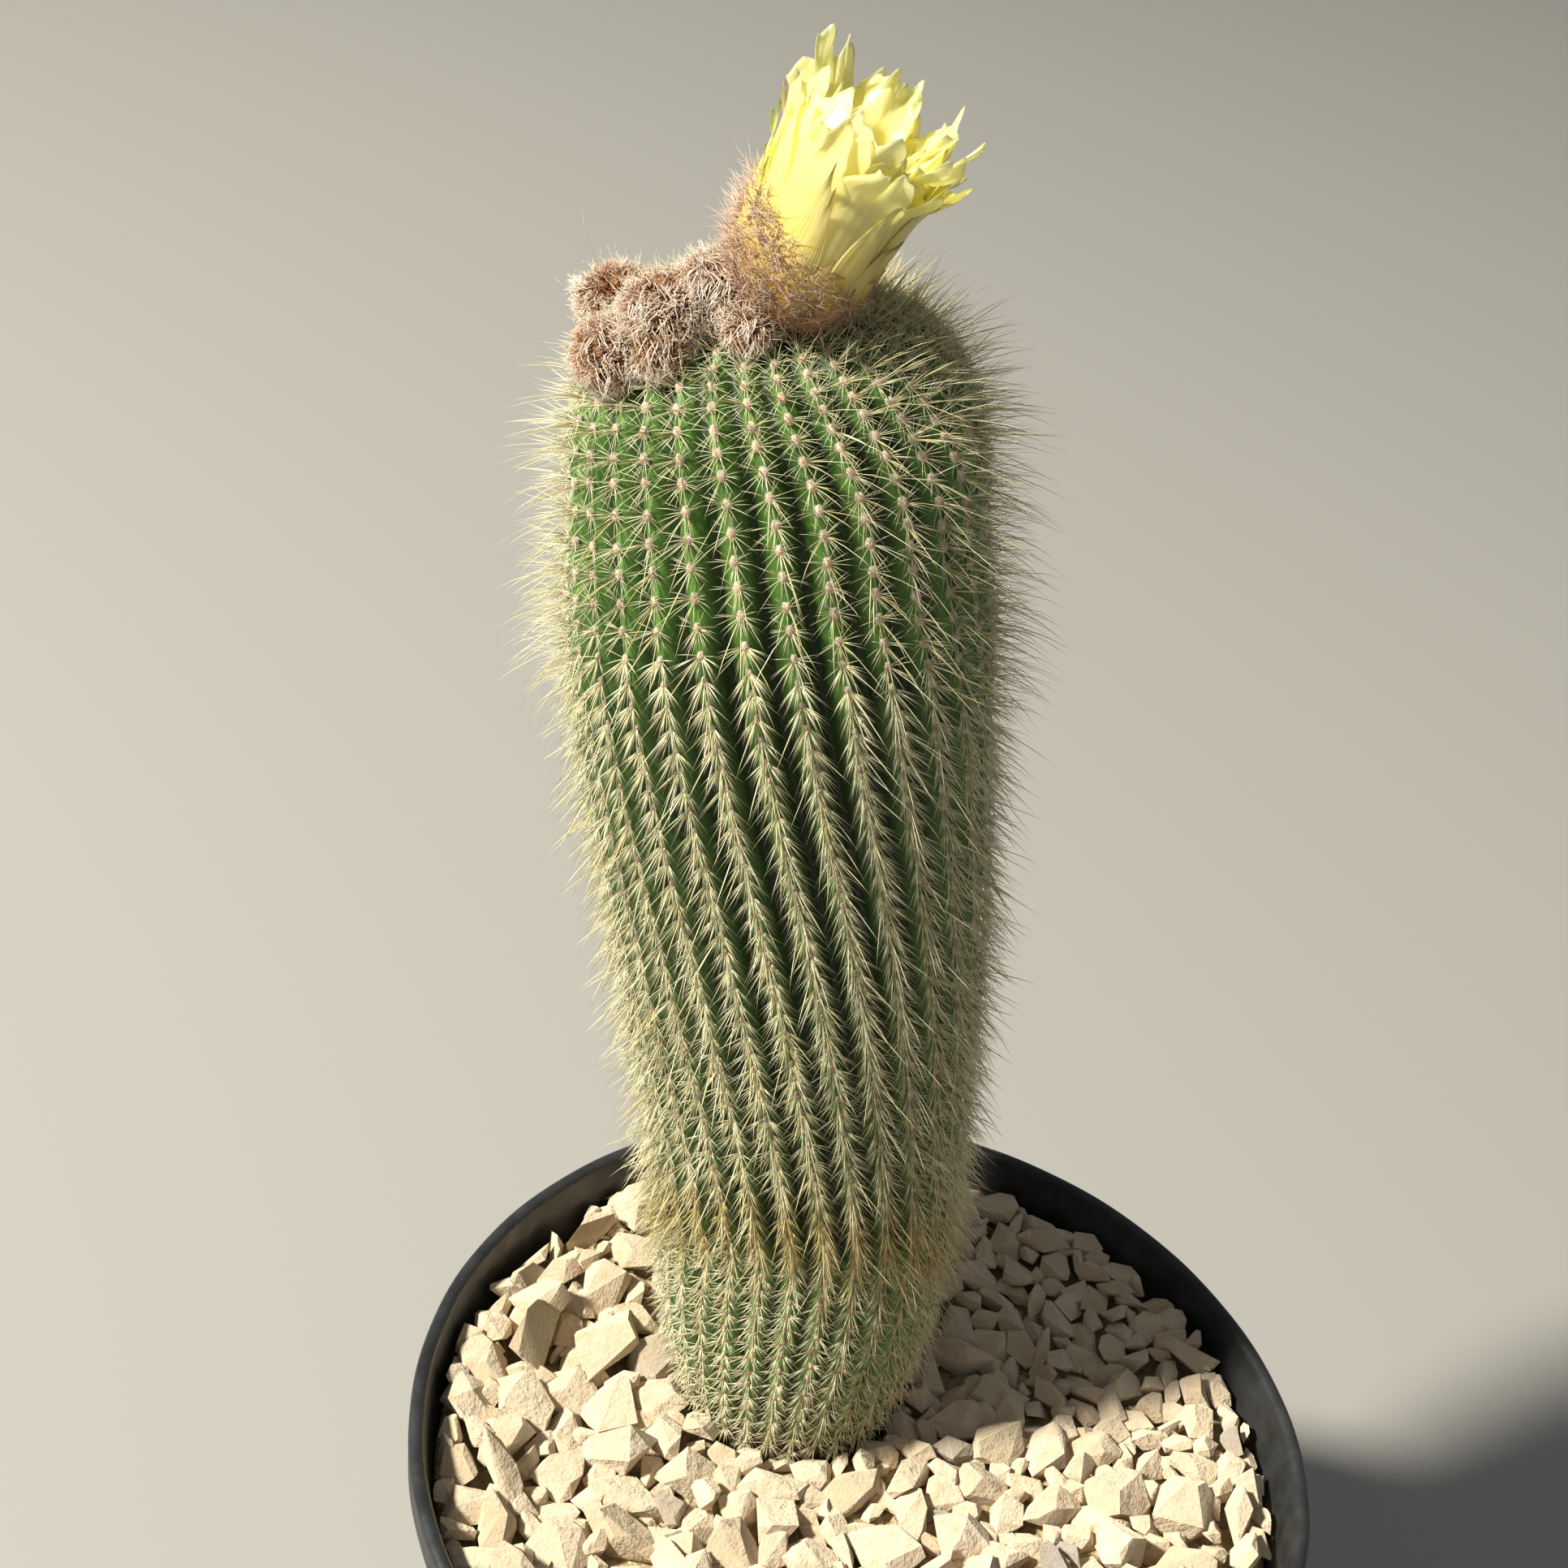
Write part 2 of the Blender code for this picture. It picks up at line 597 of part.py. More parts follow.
def scatter_stones(count, sizes, seed):
    """Centres and sizes of stones, big ones first, thrown at random and kept where they clear the others."""
    draw = np.random.default_rng(seed)
    stem_x, stem_y = stem_point(0.0, 0.0, 0.0)[:2]
    stem = float(stem_radius(0.0))
    kept = np.zeros((0, 3))
    for size in np.linspace(*sizes, count):
        room = pot_radius(GRAVEL_BED_TOP) - POT_WALL - (STONE_SHAPE[1] + 0.03) * size - 2 * GAP
        for _ in range(THROWS):
            reach, turn = room * math.sqrt(draw.uniform(0, 1)), draw.uniform(0, 2 * math.pi)
            x, y = reach * math.cos(turn), reach * math.sin(turn)
            if math.hypot(x - stem_x, y - stem_y) < stem + STONE_TO_STEM * size:
                continue
            if (np.hypot(kept[:, 0] - x, kept[:, 1] - y) > STONE_SPACING * (kept[:, 2] + size)).all():
                kept = np.vstack([kept, (x, y, size)])
                break
    return kept


def stone(centre, size, draw):
    """An angular chip: the hull of seeded points on a squat ellipsoid, turned along the wall beside it."""
    anyhow = np.array(Quaternion(unit(draw.normal(size=4))).to_matrix())
    points = even_directions(STONE_POINTS) @ anyhow * draw.uniform(0.85, 1.0, (STONE_POINTS, 1))
    points = points * size * np.array(STONE_SHAPE)
    tangent = math.atan2(centre[1], centre[0]) + math.pi / 2
    freedom = 1 - (math.hypot(centre[0], centre[1]) / pot_radius(GRAVEL_BED_TOP)) ** WALL_REACH
    turn = tangent + draw.uniform(-1, 1) * math.pi * freedom
    tilt = draw.uniform(-STONE_TILT, STONE_TILT)
    spin =Matrix.Rotation(turn, 3, "Z") @ Matrix.Rotation(tilt, 3, "X")
    hull = bmesh.new()
    for point in points:
        hull.verts.new(Vector(centre) + spin @ Vector(point))
    bmesh.ops.convex_hull(hull, input=hull.verts)
    hull.verts.index_update()
    shape = [tuple(v.co) for v in hull.verts], [tuple(v.index for v in f.verts) for f in hull.faces]
    hull.free()
    return shape


def build_gravel(parts):
    """Stones fused to their bed, with a plain hole for the stem."""
    draw = np.random.default_rng(STONE_SEED)
    bottom = SOIL_TOP + GAP
    wall = POT_WALL + GAP
    profile = [(0.0, GRAVEL_BED_TOP), (pot_radius(GRAVEL_BED_TOP) - wall, GRAVEL_BED_TOP),
               (pot_radius(bottom) - wall, bottom), (0.0, bottom)]
    gravel = turned("gravel", profile, parts, material("gravel"))
    baked(gravel)
    pieces = new_collection("stone pieces")
    for number, (x, y, size) in enumerate(scatter_stones(STONES, STONE_SIZES, STONE_SEED)):
        centre = (x, y, GRAVEL_BED_TOP + STONE_PROUD * size)
        new_object(f"stone_{number}", *stone(centre, size, draw), pieces)
    fuse(gravel, pieces)
    cut(gravel, bpy.data.objects["stem_hole"])


def main():
    clear_scene()
    parts = new_collection("potted_lemon_ball_cactus")
    cutters = new_collection("cutters", hidden=True)
    build_stem(parts, cutters)
    build_pot(parts, cutters)
    build_soil(parts)
    build_gravel(parts)
    build_tube(parts)
    build_tepals(parts)
    build_buds(parts, cutters)
    for obj in parts.objects:
        obj.data.shade_smooth()
        obj.data.set_sharp_from_angle(angle=math.radians(35))


main()
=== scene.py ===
# %% [markdown]
# # Potted lemon ball cactus
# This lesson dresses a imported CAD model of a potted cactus. The plant is a leaning green column with thirty
# ribs. Every rib carries a row of areoles, the woolly cushions that spines grow from. Young buds in pink wool
# and one lemon flower sit on the crown. The pot is black plastic with a gravel top.
# The CAD solids fix every size and place, so the first step loads them and keeps their box.

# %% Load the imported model
import math

import bmesh
import bpy
import numpy as np
from mathutils import Matrix, Vector


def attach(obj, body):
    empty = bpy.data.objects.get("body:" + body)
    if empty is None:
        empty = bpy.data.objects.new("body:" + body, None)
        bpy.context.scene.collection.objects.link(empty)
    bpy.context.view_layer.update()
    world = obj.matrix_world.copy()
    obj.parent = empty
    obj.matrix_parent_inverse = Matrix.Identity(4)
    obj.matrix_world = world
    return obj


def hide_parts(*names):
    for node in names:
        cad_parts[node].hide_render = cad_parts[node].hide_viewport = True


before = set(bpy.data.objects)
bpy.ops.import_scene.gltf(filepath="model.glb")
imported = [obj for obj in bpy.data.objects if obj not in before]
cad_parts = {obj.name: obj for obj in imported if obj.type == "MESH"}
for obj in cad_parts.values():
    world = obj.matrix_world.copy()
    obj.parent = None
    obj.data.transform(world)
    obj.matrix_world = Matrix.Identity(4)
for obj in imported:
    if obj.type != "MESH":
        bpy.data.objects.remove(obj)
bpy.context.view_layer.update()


# %% [markdown]
# ## Camera
# The photograph looks down on the pot at about 34 degrees with a normal lens, held a little crooked. The rim's
# ellipse gave the place and the three angles. A camera looks along its own -Z, so its matrix is built from the
# view direction and from the right and up directions after the roll.

# %% Camera at the photograph's viewing angle
CAMERA_PLACE = (0.0, -0.3768, 0.6112)
PITCH, YAW, ROLL = (math.radians(angle) for angle in (33.92, -5.96, 8.13))
LENS_MM, SENSOR_MM, NEAREST = 54.0, 36.0, 0.01


def add_object(name, data):
    made = bpy.data.objects.new(name, data)
    bpy.context.scene.collection.objects.link(made)
    return made


def camera_matrix(place, pitch, yaw, roll):
    """Forward is (sin yaw cos pitch, cos yaw cos pitch, -sin pitch); roll turns right and up round it."""
    forward = np.array([math.sin(yaw) * math.cos(pitch), math.cos(yaw) * math.cos(pitch), -math.sin(pitch)])
    level = np.array([math.cos(yaw), -math.sin(yaw), 0.0])
    upright = np.cross(level, forward)
    right = math.cos(roll) * level + math.sin(roll) * upright
    up = -math.sin(roll) * level + math.cos(roll) * upright
    matrix = np.eye(4)
    matrix[:3] = np.stack([right, up, -forward, place], axis=1)
    return Matrix(matrix.tolist())


lens = bpy.data.cameras.new("camera")
lens.lens, lens.sensor_width, lens.clip_start = LENS_MM, SENSOR_MM, NEAREST
camera = add_object("camera", lens)
camera.matrix_world = camera_matrix(CAMERA_PLACE, PITCH, YAW, ROLL)
bpy.context.scene.camera = camera

# %% [markdown]
# ## Numbers shared with the solids
# The ribs, areoles, buds and flower follow the same curves as the solids, so every surface here lies on the
# solid that it replaces. Heights on the stem are counted from the top of the gravel.

# %% Driving dimensions, in metres
POT_HEIGHT, RIM_RADIUS, POT_BASE_RADIUS, POT_WALL = 0.185, 0.105, 0.079, 0.0018
LIP_WIDTH, RIM_BAND, STEP_DROP, STEP_IN, POT_SOFT = 0.0036, 0.010, 0.034, 0.0012, 0.0015
FLOOR_THICKNESS, DRAIN_RADIUS, DRAIN_CIRCLE, DRAIN_HOLES, DRAIN_TURN = 0.0025, 0.006, 0.052, 6, 0.04
GRAVEL_TOP = POT_HEIGHT - 0.011
GRAVEL_BED_TOP = GRAVEL_TOP - 0.0065
SOIL_TOP = GRAVEL_TOP - 0.014
RIBS, STEM_TOP, SHOULDER, DOME_POWER, RIB_DEPTH = 30, 0.2710, 0.228, 2.6, 0.095
# The stem's axis is x at each height, and y as a start and a slope. Its outline is a radius at each height.
AXIS_X = ((-0.04, -0.0185), (0.0, -0.0200), (0.070, -0.0255), (0.140, -0.0365),
          (0.190, -0.0460), (0.230, -0.0520), (0.275, -0.0550))
AXIS_Y = (0.023, 0.03)
RADII = ((-0.036, 0.0020), (-0.031, 0.0130), (-0.015, 0.0235), (0.0, 0.0268), (0.014, 0.0300),
         (0.030, 0.0325), (0.060, 0.0346), (0.090, 0.0364), (0.120, 0.0388), (0.150, 0.0405),
         (0.180, 0.0418), (0.205, 0.0423), (0.228, 0.0404))
# The ribs' turn is in radians for each metre, with a swirl above its start.
RING_HEIGHT, SWIRL_START = 0.062, 0.235
TWIST_ABOVE, TWIST_BELOW, SWIRL = (math.radians(angle) for angle in (-178, 120, -14000))
# The growth ring's pinch and the zones of areoles are levels on the stem, and pitches are rib lengths at heights.
PINCH_LEVEL, PINCH_WIDTH, PINCH_SHARE = 0.0370, 0.004, 0.035
STAR_ZONE = (0.180, 0.192)
PITCHES = ((-0.036, 0.0050), (0.0, 0.0050), (0.040, 0.0048), (0.062, 0.0035), (0.085, 0.0046), (0.120, 0.0043),
           (0.188, 0.0042), (0.205, 0.0046), (0.220, 0.0053), (0.236, 0.0052), (0.258, 0.0036), (0.271, 0.0028))
# Buds are an azimuth in degrees, a distance from the axis and a radius. The flower's tube, and the body line that
# goes on from it, are a radius at each height.
BUDS = ((-134, 0.0250, 0.0090), (-143, 0.0325, 0.0076), (-127, 0.0292, 0.0054),
        (-170, 0.0295, 0.0078), (-125, 0.0175, 0.0086), (-98, 0.0212, 0.0052))
BUD_PROUD = 0.45
FLOWER_AZIMUTH, FLOWER_FROM_AXIS, FLOWER_AXIS = -95, 0.016, (0.36, 0.12, 0.92)
TUBE = ((-0.004, 0.0046), (0.001, 0.0062), (0.006, 0.0108), (0.012, 0.0132), (0.017, 0.0136))
TUBE_FOOT, TUBE_TOP = TUBE[0][0], TUBE[-1][0]
FLOWER_BODY = TUBE + ((0.0215, 0.0140), (0.028, 0.0146), (0.036, 0.0156), (0.043, 0.0165), (0.052, 0.0170))

# %% [markdown]
# ## A few curves
# A cubic Hermite curve passes smoothly through measured knots. A step that eases in and out blends one zone
# into the next, a bell marks a place, and a sum of sines in seeded directions is noise with no grid in it.

# %% Functions of numbers and points


def smooth(knots, t):
    """A cubic Hermite curve through (position, value) knots, with each slope taken from the knots beside it."""
    x, y = np.array(knots, float).T
    slope = np.gradient(y, x)
    t = np.clip(t, x[0], x[-1])
    i = np.clip(np.searchsorted(x, t, side="right") - 1, 0, len(x) - 2)
    span = x[i + 1] - x[i]
    u = (t - x[i]) / span
    rise = 3 * u**2 - 2 * u**3
    ends = (1 - rise) * y[i] + rise * y[i + 1]
    return ends + span * (u * (1 - u) ** 2 * slope[i] - u**2 * (1 - u) * slope[i + 1])


def ease(value, low, high):
    """0 below low, 1 above high, and 3u^2 - 2u^3 between them."""
    u = np.clip((value - low) / (high - low), 0, 1)
    return u * u * (3 - 2 * u)


def bell(value, middle, width):
    """exp(-((value - middle) / width)^2)."""
    return np.exp(-(((value - middle) / width) ** 2))


def running_sum(steps):
    return np.concatenate([[0.0], np.cumsum(steps)])


def norm(vectors):
    return np.linalg.norm(vectors, axis=-1)


def unit(vectors):
    return vectors / norm(vectors)[..., None]


def across(vectors, normals):
    """Vectors less their part along unit normals."""
    return vectors - (vectors * normals).sum(-1, keepdims=True) * normals


def ring_angles(count):
    return np.arange(count) * math.tau / count


def polar(radius, angle, height):
    """Points (radius cos angle, radius sin angle, height), with the three spread over each other."""
    return np.stack(np.broadcast_arrays(radius * np.cos(angle), radius * np.sin(angle), height), axis=-1)


def ripple(points, size, seed, waves=14):
    """Smooth noise of about -1 to 1: the scaled sum of sines along seeded directions, size metres long."""
    draw = np.random.default_rng(seed)
    directions = unit(draw.normal(size=(waves, 3))) * draw.uniform(0.6, 1.7, (waves, 1)) * math.tau / size
    phases = draw.uniform(0, math.tau, waves)
    return np.sin(points @ directions.T + phases).sum(axis=-1) / math.sqrt(waves / 2) * 0.6

# %% [markdown]
# ## The stem's form
# A smooth column would be a radius that changes with height, carried along a leaning axis. The crown is a
# flattened dome, and the ribs turn slowly round the axis, one way above the old growth ring and the other way
# below it. Growth marks lie in planes that tilt back, so they are measured by a level instead of a height.

# %% Functions for points on the stem


def stem_radius(height):
    """Knots up to the shoulder, then a superellipse: (1 - rise^p)^(1/p) of the shoulder's radius."""
    rise = np.clip((height - SHOULDER) / (STEM_TOP - SHOULDER), 0, 1)
    return smooth(RADII, np.minimum(height, SHOULDER)) * (1 - rise**DOME_POWER) ** (1 / DOME_POWER)


def dome_height(from_axis):
    """The same superellipse the other way round: the crown's height at a distance from the axis."""
    share = from_axis / stem_radius(SHOULDER)
    return SHOULDER + (STEM_TOP - SHOULDER) * (1 - share**DOME_POWER) ** (1 / DOME_POWER)


def axes_round(along):
    """Two directions across an axis, y x along and along x the first, and then the axis itself."""
    first = unit(np.cross([0.0, 1.0, 0.0], along))
    return first, np.cross(along, first), along


def stem_frame(height):
    """The axis point at a height, with two directions across the axis and the one along it."""
    height = np.asarray(height, float)

    def axis(h):
        return np.stack([smooth(AXIS_X, h), AXIS_Y[0] + AXIS_Y[1] * h, GRAVEL_TOP + h], -1)

    return axis(height), *axes_round(unit(axis(height + 0.002) - axis(height - 0.002)))


def stem_point(height, azimuth, radius):
    """Centre + radius (cos azimuth right + sin azimuth behind)."""
    centre, right, behind, _ = stem_frame(height)
    turn = np.asarray(azimuth)[..., None]
    return centre + np.asarray(radius)[..., None] * (np.cos(turn) * right + np.sin(turn) * behind)


def stem_normal(height, azimuth):
    """The radial direction, less the outline's slope times the axis direction."""
    slope = (stem_radius(height + 0.0004) - stem_radius(height - 0.0004)) / 0.0008
    _, right, behind, along = stem_frame(height)
    turn = np.asarray(azimuth)[..., None]
    return unit(np.cos(turn) * right + np.sin(turn) * behind - np.asarray(slope)[..., None] * along)


def rib_twist(height):
    """Linear above and below the growth ring, with a square term that swirls the ribs into the crown."""
    above, below = np.maximum(height - RING_HEIGHT, 0), np.minimum(height - RING_HEIGHT, 0)
    return TWIST_ABOVE * above + TWIST_BELOW * below + SWIRL * np.maximum(height - SWIRL_START, 0) ** 2


def growth_level(height, azimuth):
    """Height plus three quarters of how far back the point is from the axis."""
    return height + 0.75 * stem_radius(height) * np.sin(azimuth)


def pinch(height, azimuth):
    """The growth ring draws the stem in: 1 - share times the bell of the level."""
    return 1 - PINCH_SHARE * bell(growth_level(height, azimuth), PINCH_LEVEL, PINCH_WIDTH)


LEVELS = np.concatenate([np.linspace(-0.036, SHOULDER, 1500),
                         SHOULDER + (STEM_TOP - SHOULDER) * np.sin(np.linspace(0, math.pi / 2, 700)[1:])])
OUTLINE = running_sum(np.hypot(np.diff(LEVELS), np.diff(stem_radius(LEVELS))))
AREOLE_COUNT = running_sum(np.diff(OUTLINE) / smooth(PITCHES, LEVELS[1:]))
print("areoles along one rib:", round(float(AREOLE_COUNT[-1] - np.interp(0.0, LEVELS, AREOLE_COUNT))))

# %% [markdown]
# ## Making meshes and attributes
# Each piece below is an array of points and an array of faces. One helper turns them into an object at the
# origin, rides it on the root body and hides the solid that it stands for. Numbers that colour needs, such as how
# far along a spine a point is, are stored on the points as attributes for the material to read.

# %% Helpers for pieces


def grid_faces(rows, columns, closed=False):
    """Quads between neighbours of a grid of points; closed joins the last column to the first."""
    wide = columns if closed else columns - 1
    row, column = np.meshgrid(np.arange(rows - 1), np.arange(wide), indexing="ij")
    here, following = row * columns + column, row * columns + (column + 1) % columns
    return np.stack([here, following, following + columns, here + columns], axis=-1).reshape(-1, 4)


def capped_faces(rows, columns):
    """A closed grid with a fan at each end, round the two points that come after the grid's."""
    ring, last = np.arange(columns), rows * columns
    following = (ring + 1) % columns
    bottom = np.stack([np.full(columns, last), following, ring], axis=1)
    top = np.stack([np.full(columns, last + 1), last - columns + ring, last - columns + following], axis=1)
    return [grid_faces(rows, columns, closed=True), bottom, top]


def copies(one, count, per):
    """The faces of one element, repeated for count elements of per points."""
    return (one[None] + per * np.arange(count)[:, None, None]).reshape(-1, one.shape[1])


def triangles(quads, *others):
    return np.concatenate([quads[:, [0, 1, 2]], quads[:, [0, 2, 3]], *others])


def make_piece(name, points, faces, finish, node, **attributes):
    """An object from points and faces, riding on the root body in place of a CAD node."""
    mesh = bpy.data.meshes.new(name)
    face_lists = [list(corners) for group in faces for corners in group]
    mesh.from_pydata(np.asarray(points, float).reshape(-1, 3), [], face_lists)
    mesh.polygons.foreach_set("use_smooth", np.full(len(mesh.polygons), True))
    for label, values in attributes.items():
        layer = mesh.attributes.new(label, "FLOAT", "POINT")
        layer.data.foreach_set("value", np.asarray(values, np.float32).ravel())
    mesh.materials.append(finish.material)
    mesh.update()
    piece = add_object(name, mesh)
    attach(piece, "root")
    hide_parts(node)
    print(name, "triangles:", sum(len(corners) - 2 for corners in face_lists))
    return piece


def turned_surface(profile, columns, swell=None):
    """A (radius, height) profile carried round +Z, with one point and a fan at each end, on the axis."""
    radius, height = np.array(profile, float).T
    angle, inner = ring_angles(columns), slice(1, -1)
    reach = radius[inner, None] + 0 * angle
    if swell:
        reach = reach + swell(height[inner, None], angle[None])
    rings = polar(reach, angle, height[inner, None]).reshape(-1, 3)
    return np.concatenate([rings, [[0, 0, height[0]], [0, 0, height[-1]]]]), capped_faces(len(profile) - 2, columns)

# %% Hairs


def hairs(roots, directions, bends, lengths, widths, rings=3, kink=0.0):
    """Tapered three-sided hairs: root + length (s direction + s^2 bend + kink s waves across).

    The radius is width (1 - 0.75 s)^0.8. Gives the points, the faces, how far along its hair each point is, and
    the number of points in a hair.
    """
    count, sides = len(roots), 3
    share = np.arange(rings) / rings
    side = unit(np.cross(directions, np.array([0.37, 0.51, 0.78])))
    other = np.cross(directions, side)
    run = share[None, :, None] * directions[:, None] + share[None, :, None] ** 2 * bends[:, None]
    phase = np.random.default_rng(count).uniform(0, math.tau, (count, 1))
    waves = kink * share * np.sin(6 * share + phase)
    turned = kink * share * np.cos(5 * share + phase)
    run = run + waves[..., None] * side[:, None] + turned[..., None] * other[:, None]
    centre = roots[:, None] + lengths[:, None, None] * run
    radius = np.broadcast_to(widths, (count,))[:, None] * (1 - 0.75 * share) ** 0.8
    turn = ring_angles(sides)
    spoke = np.cos(turn)[:, None] * side[:, None] + np.sin(turn)[:, None] * other[:, None]
    ring = centre[:, :, None] + radius[:, :, None, None] * spoke[:, None]
    tip = roots + lengths[:, None] * (directions + bends)
    points = np.concatenate([ring.reshape(count, -1, 3), tip[:, None]], axis=1)
    last, per = sides * (rings - 1), sides * rings + 1
    ends = [(0, 2, 1)] + [(last + i, last + (i + 1) % sides, per - 1) for i in range(sides)]
    one = triangles(grid_faces(rings, sides, closed=True), ends)
    return points, copies(one, count, per), np.tile([*np.repeat(share, sides), 1.0], count), per


def hair_piece(name, grown, finish, node, fade=(1.0, 0.0), **values):
    """A piece from hairs, with how far along a point is (times and plus the fade) and each hair's own values."""
    points, faces, along, per = grown
    spread = {label: np.repeat(value, per) for label, value in values.items()}
    make_piece(name, points, [faces], finish, node, along=np.clip(along * fade[0] + fade[1], 0, 1), **spread)

# %% [markdown]
# ## Helpers for materials
# Colours are given as they look on a screen and made linear. Two small node groups are shared: one gives an
# uneven mask from noise on Object coordinates, and one gives the height of a fine grain for a Bump node.
# A group puts out only masks and heights, and each Principled BSDF stays in its own material.

# %% Colours and the shared groups


def shade(code):
    """Linear colour of a screen colour: ((c + 0.055) / 1.055)^2.4, or c / 12.92 when it is dark."""
    parts = np.array([int(code[i:i + 2], 16) / 255 for i in (1, 3, 5)])
    linear = np.where(parts > 0.04045, ((parts + 0.055) / 1.055) ** 2.4, parts / 12.92)
    return (*linear.tolist(), 1.0)


def add_node(tree, kind, values=(), **settings):
    made = tree.nodes.new(kind)
    for name, value in settings.items():
        setattr(made, name, value)
    for name, value in dict(values).items():
        made.inputs[name].default_value = value
    return made


def noise_group(name, output, low, high):
    """Noise between two limits, stretched to 0 to 1 and put out as a mask or a height."""
    group = bpy.data.node_groups.new(name, "ShaderNodeTree")
    kinds = {"Vector": "NodeSocketVector", "Scale": "NodeSocketFloat", "Detail": "NodeSocketFloat"}
    for socket, kind in kinds.items():
        group.interface.new_socket(socket, in_out="INPUT", socket_type=kind)
    group.interface.new_socket(output, in_out="OUTPUT", socket_type="NodeSocketFloat")
    entry, leave = group.nodes.new("NodeGroupInput"), group.nodes.new("NodeGroupOutput")
    noise = add_node(group, "ShaderNodeTexNoise")
    spread = add_node(group, "ShaderNodeMapRange", {"From Min": low, "From Max": high})
    for socket in kinds:
        group.links.new(entry.outputs[socket], noise.inputs[socket])
    group.links.new(noise.outputs["Fac"], spread.inputs["Value"])
    group.links.new(spread.outputs["Result"], leave.inputs[output])
    return group


MOTTLE = noise_group("mottle", "Mask", 0.35, 0.65)
GRAIN = noise_group("grain", "Height", 0.2, 0.8)

# %% A material and its nodes


class Finish:
    """A material with constants on its own Principled BSDF, and short ways to add nodes to it.

    A value may be a number, a screen colour such as "#8A5A3C", the name of an attribute, or a node's output.
    """

    def __init__(self, name, **settings):
        self.material = bpy.data.materials.new(name)
        self.material.use_nodes = True
        self.tree = self.material.node_tree
        self.shader = self.tree.nodes["Principled BSDF"]
        for socket, value in settings.items():
            self.shader.inputs[socket.replace("_", " ")].default_value = value

    def set(self, socket, value):
        if isinstance(value, (int, float)):
            socket.default_value = value
        elif isinstance(value, str) and value.startswith("#"):
            socket.default_value = shade(value)
        elif isinstance(value, str):
            found = add_node(self.tree, "ShaderNodeAttribute", attribute_name=value)
            self.tree.links.new(found.outputs["Fac"], socket)
        else:
            self.tree.links.new(value, socket)

    def colour(self, value):
        self.set(self.shader.inputs["Base Color"], value)

    def mix(self, factor, first, second):
        """Two colours mixed by a factor: sockets 6, 7 and 0 of a Mix node."""
        made = add_node(self.tree, "ShaderNodeMix", data_type="RGBA")
        for index, value in ((0, factor), (6, first), (7, second)):
            self.set(made.inputs[index], value)
        return made.outputs[2]

    def compute(self, operation, first, second=0.0):
        made = add_node(self.tree, "ShaderNodeMath", operation=operation)
        self.set(made.inputs[0], first)
        self.set(made.inputs[1], second)
        return made.outputs[0]

    def times(self, first, second):
        return self.compute("MULTIPLY", first, second)

    def ramp(self, factor, *stops):
        """A colour ramp through (position, screen colour) stops."""
        made = add_node(self.tree, "ShaderNodeValToRGB")
        elements = made.color_ramp.elements
        while len(elements) < len(stops):
            elements.new(0.5)
        for element, (position, code) in zip(elements, stops):
            element.position, element.color = position, shade(code)
        self.set(made.inputs["Fac"], factor)
        return made.outputs["Color"]

    def noise(self, group, scale, detail=3.0):
        """A shared group on Object coordinates, with its scale in features for each metre."""
        made = add_node(self.tree, "ShaderNodeGroup", node_tree=group)
        made.inputs["Scale"].default_value, made.inputs["Detail"].default_value = scale, detail
        self.tree.links.new(add_node(self.tree, "ShaderNodeTexCoord").outputs["Object"], made.inputs["Vector"])
        return made.outputs[0]

    def bump(self, height, depth):
        made = add_node(self.tree, "ShaderNodeBump", {"Distance": depth, "Strength": 1.0})
        self.tree.links.new(height, made.inputs["Height"])
        self.tree.links.new(made.outputs["Normal"], self.shader.inputs["Normal"])

    def blend(self, factor, first, second):
        """Two shaders mixed by a factor."""
        made = add_node(self.tree, "ShaderNodeMixShader")
        for socket, value in zip(made.inputs, (factor, first, second)):
            self.set(socket, value)
        return made.outputs["Shader"]


def crumbly(name, roughness, first, second, patch_scale, grain_scale, depth, detail=3.0):
    """A dull finish: two colours mixed by the mottle, and a bump from the grain."""
    made = Finish(name, Roughness=roughness, Specular_IOR_Level=0.1)
    made.colour(made.mix(made.noise(MOTTLE, patch_scale, detail), first, second))
    made.bump(made.noise(GRAIN, grain_scale, detail), depth)
    return made

# %% [markdown]
# ## The flesh
# The real stem is waxy and fresh green, with thirty blunt ribs between sharp grooves. The CAD column has one
# point on each crest and one in each groove. Here eight points follow each rib, the crest is rounded, and it
# swells a little under every areole. The depth across a rib is depth times s^1.6, where s runs from 0 on the
# crest to 1 in the groove, which gives a round crest and a sharp groove.

# %% Flesh of the stem
POINTS_PER_RIB, STEM_ROWS, FLESH_UNDER, GROOVE_POWER, SWELLING = 8, 190, 0.0003, 1.6, 0.00030


def flesh_points(height, rib):
    """Crest radius less the rib's depth times s^1.6, plus a swelling of (1 - s)^2 cos(areole phase)."""
    s = 2 * np.abs(rib - np.round(rib))
    outline = stem_radius(height)
    depth = RIB_DEPTH * outline * np.clip((height + 0.008) / 0.016, 0, 1)
    phase = np.interp(height, LEVELS, AREOLE_COUNT) - 0.5 * (np.round(rib) % 2)
    swelling = SWELLING * np.cos(2 * math.pi * phase) * (1 - s) ** 2 * ease(height, 0.170, 0.200)
    radius = outline - FLESH_UNDER - depth * 1.06 * s**GROOVE_POWER + swelling * ease(outline, 0.006, 0.02)
    azimuth = rib * math.tau / RIBS + rib_twist(height)
    points = stem_point(height, azimuth, radius * pinch(height, azimuth))
    return points + 0.00025 * ripple(points, 0.012, 4)[..., None] * unit(points - stem_frame(height)[0]), s, azimuth


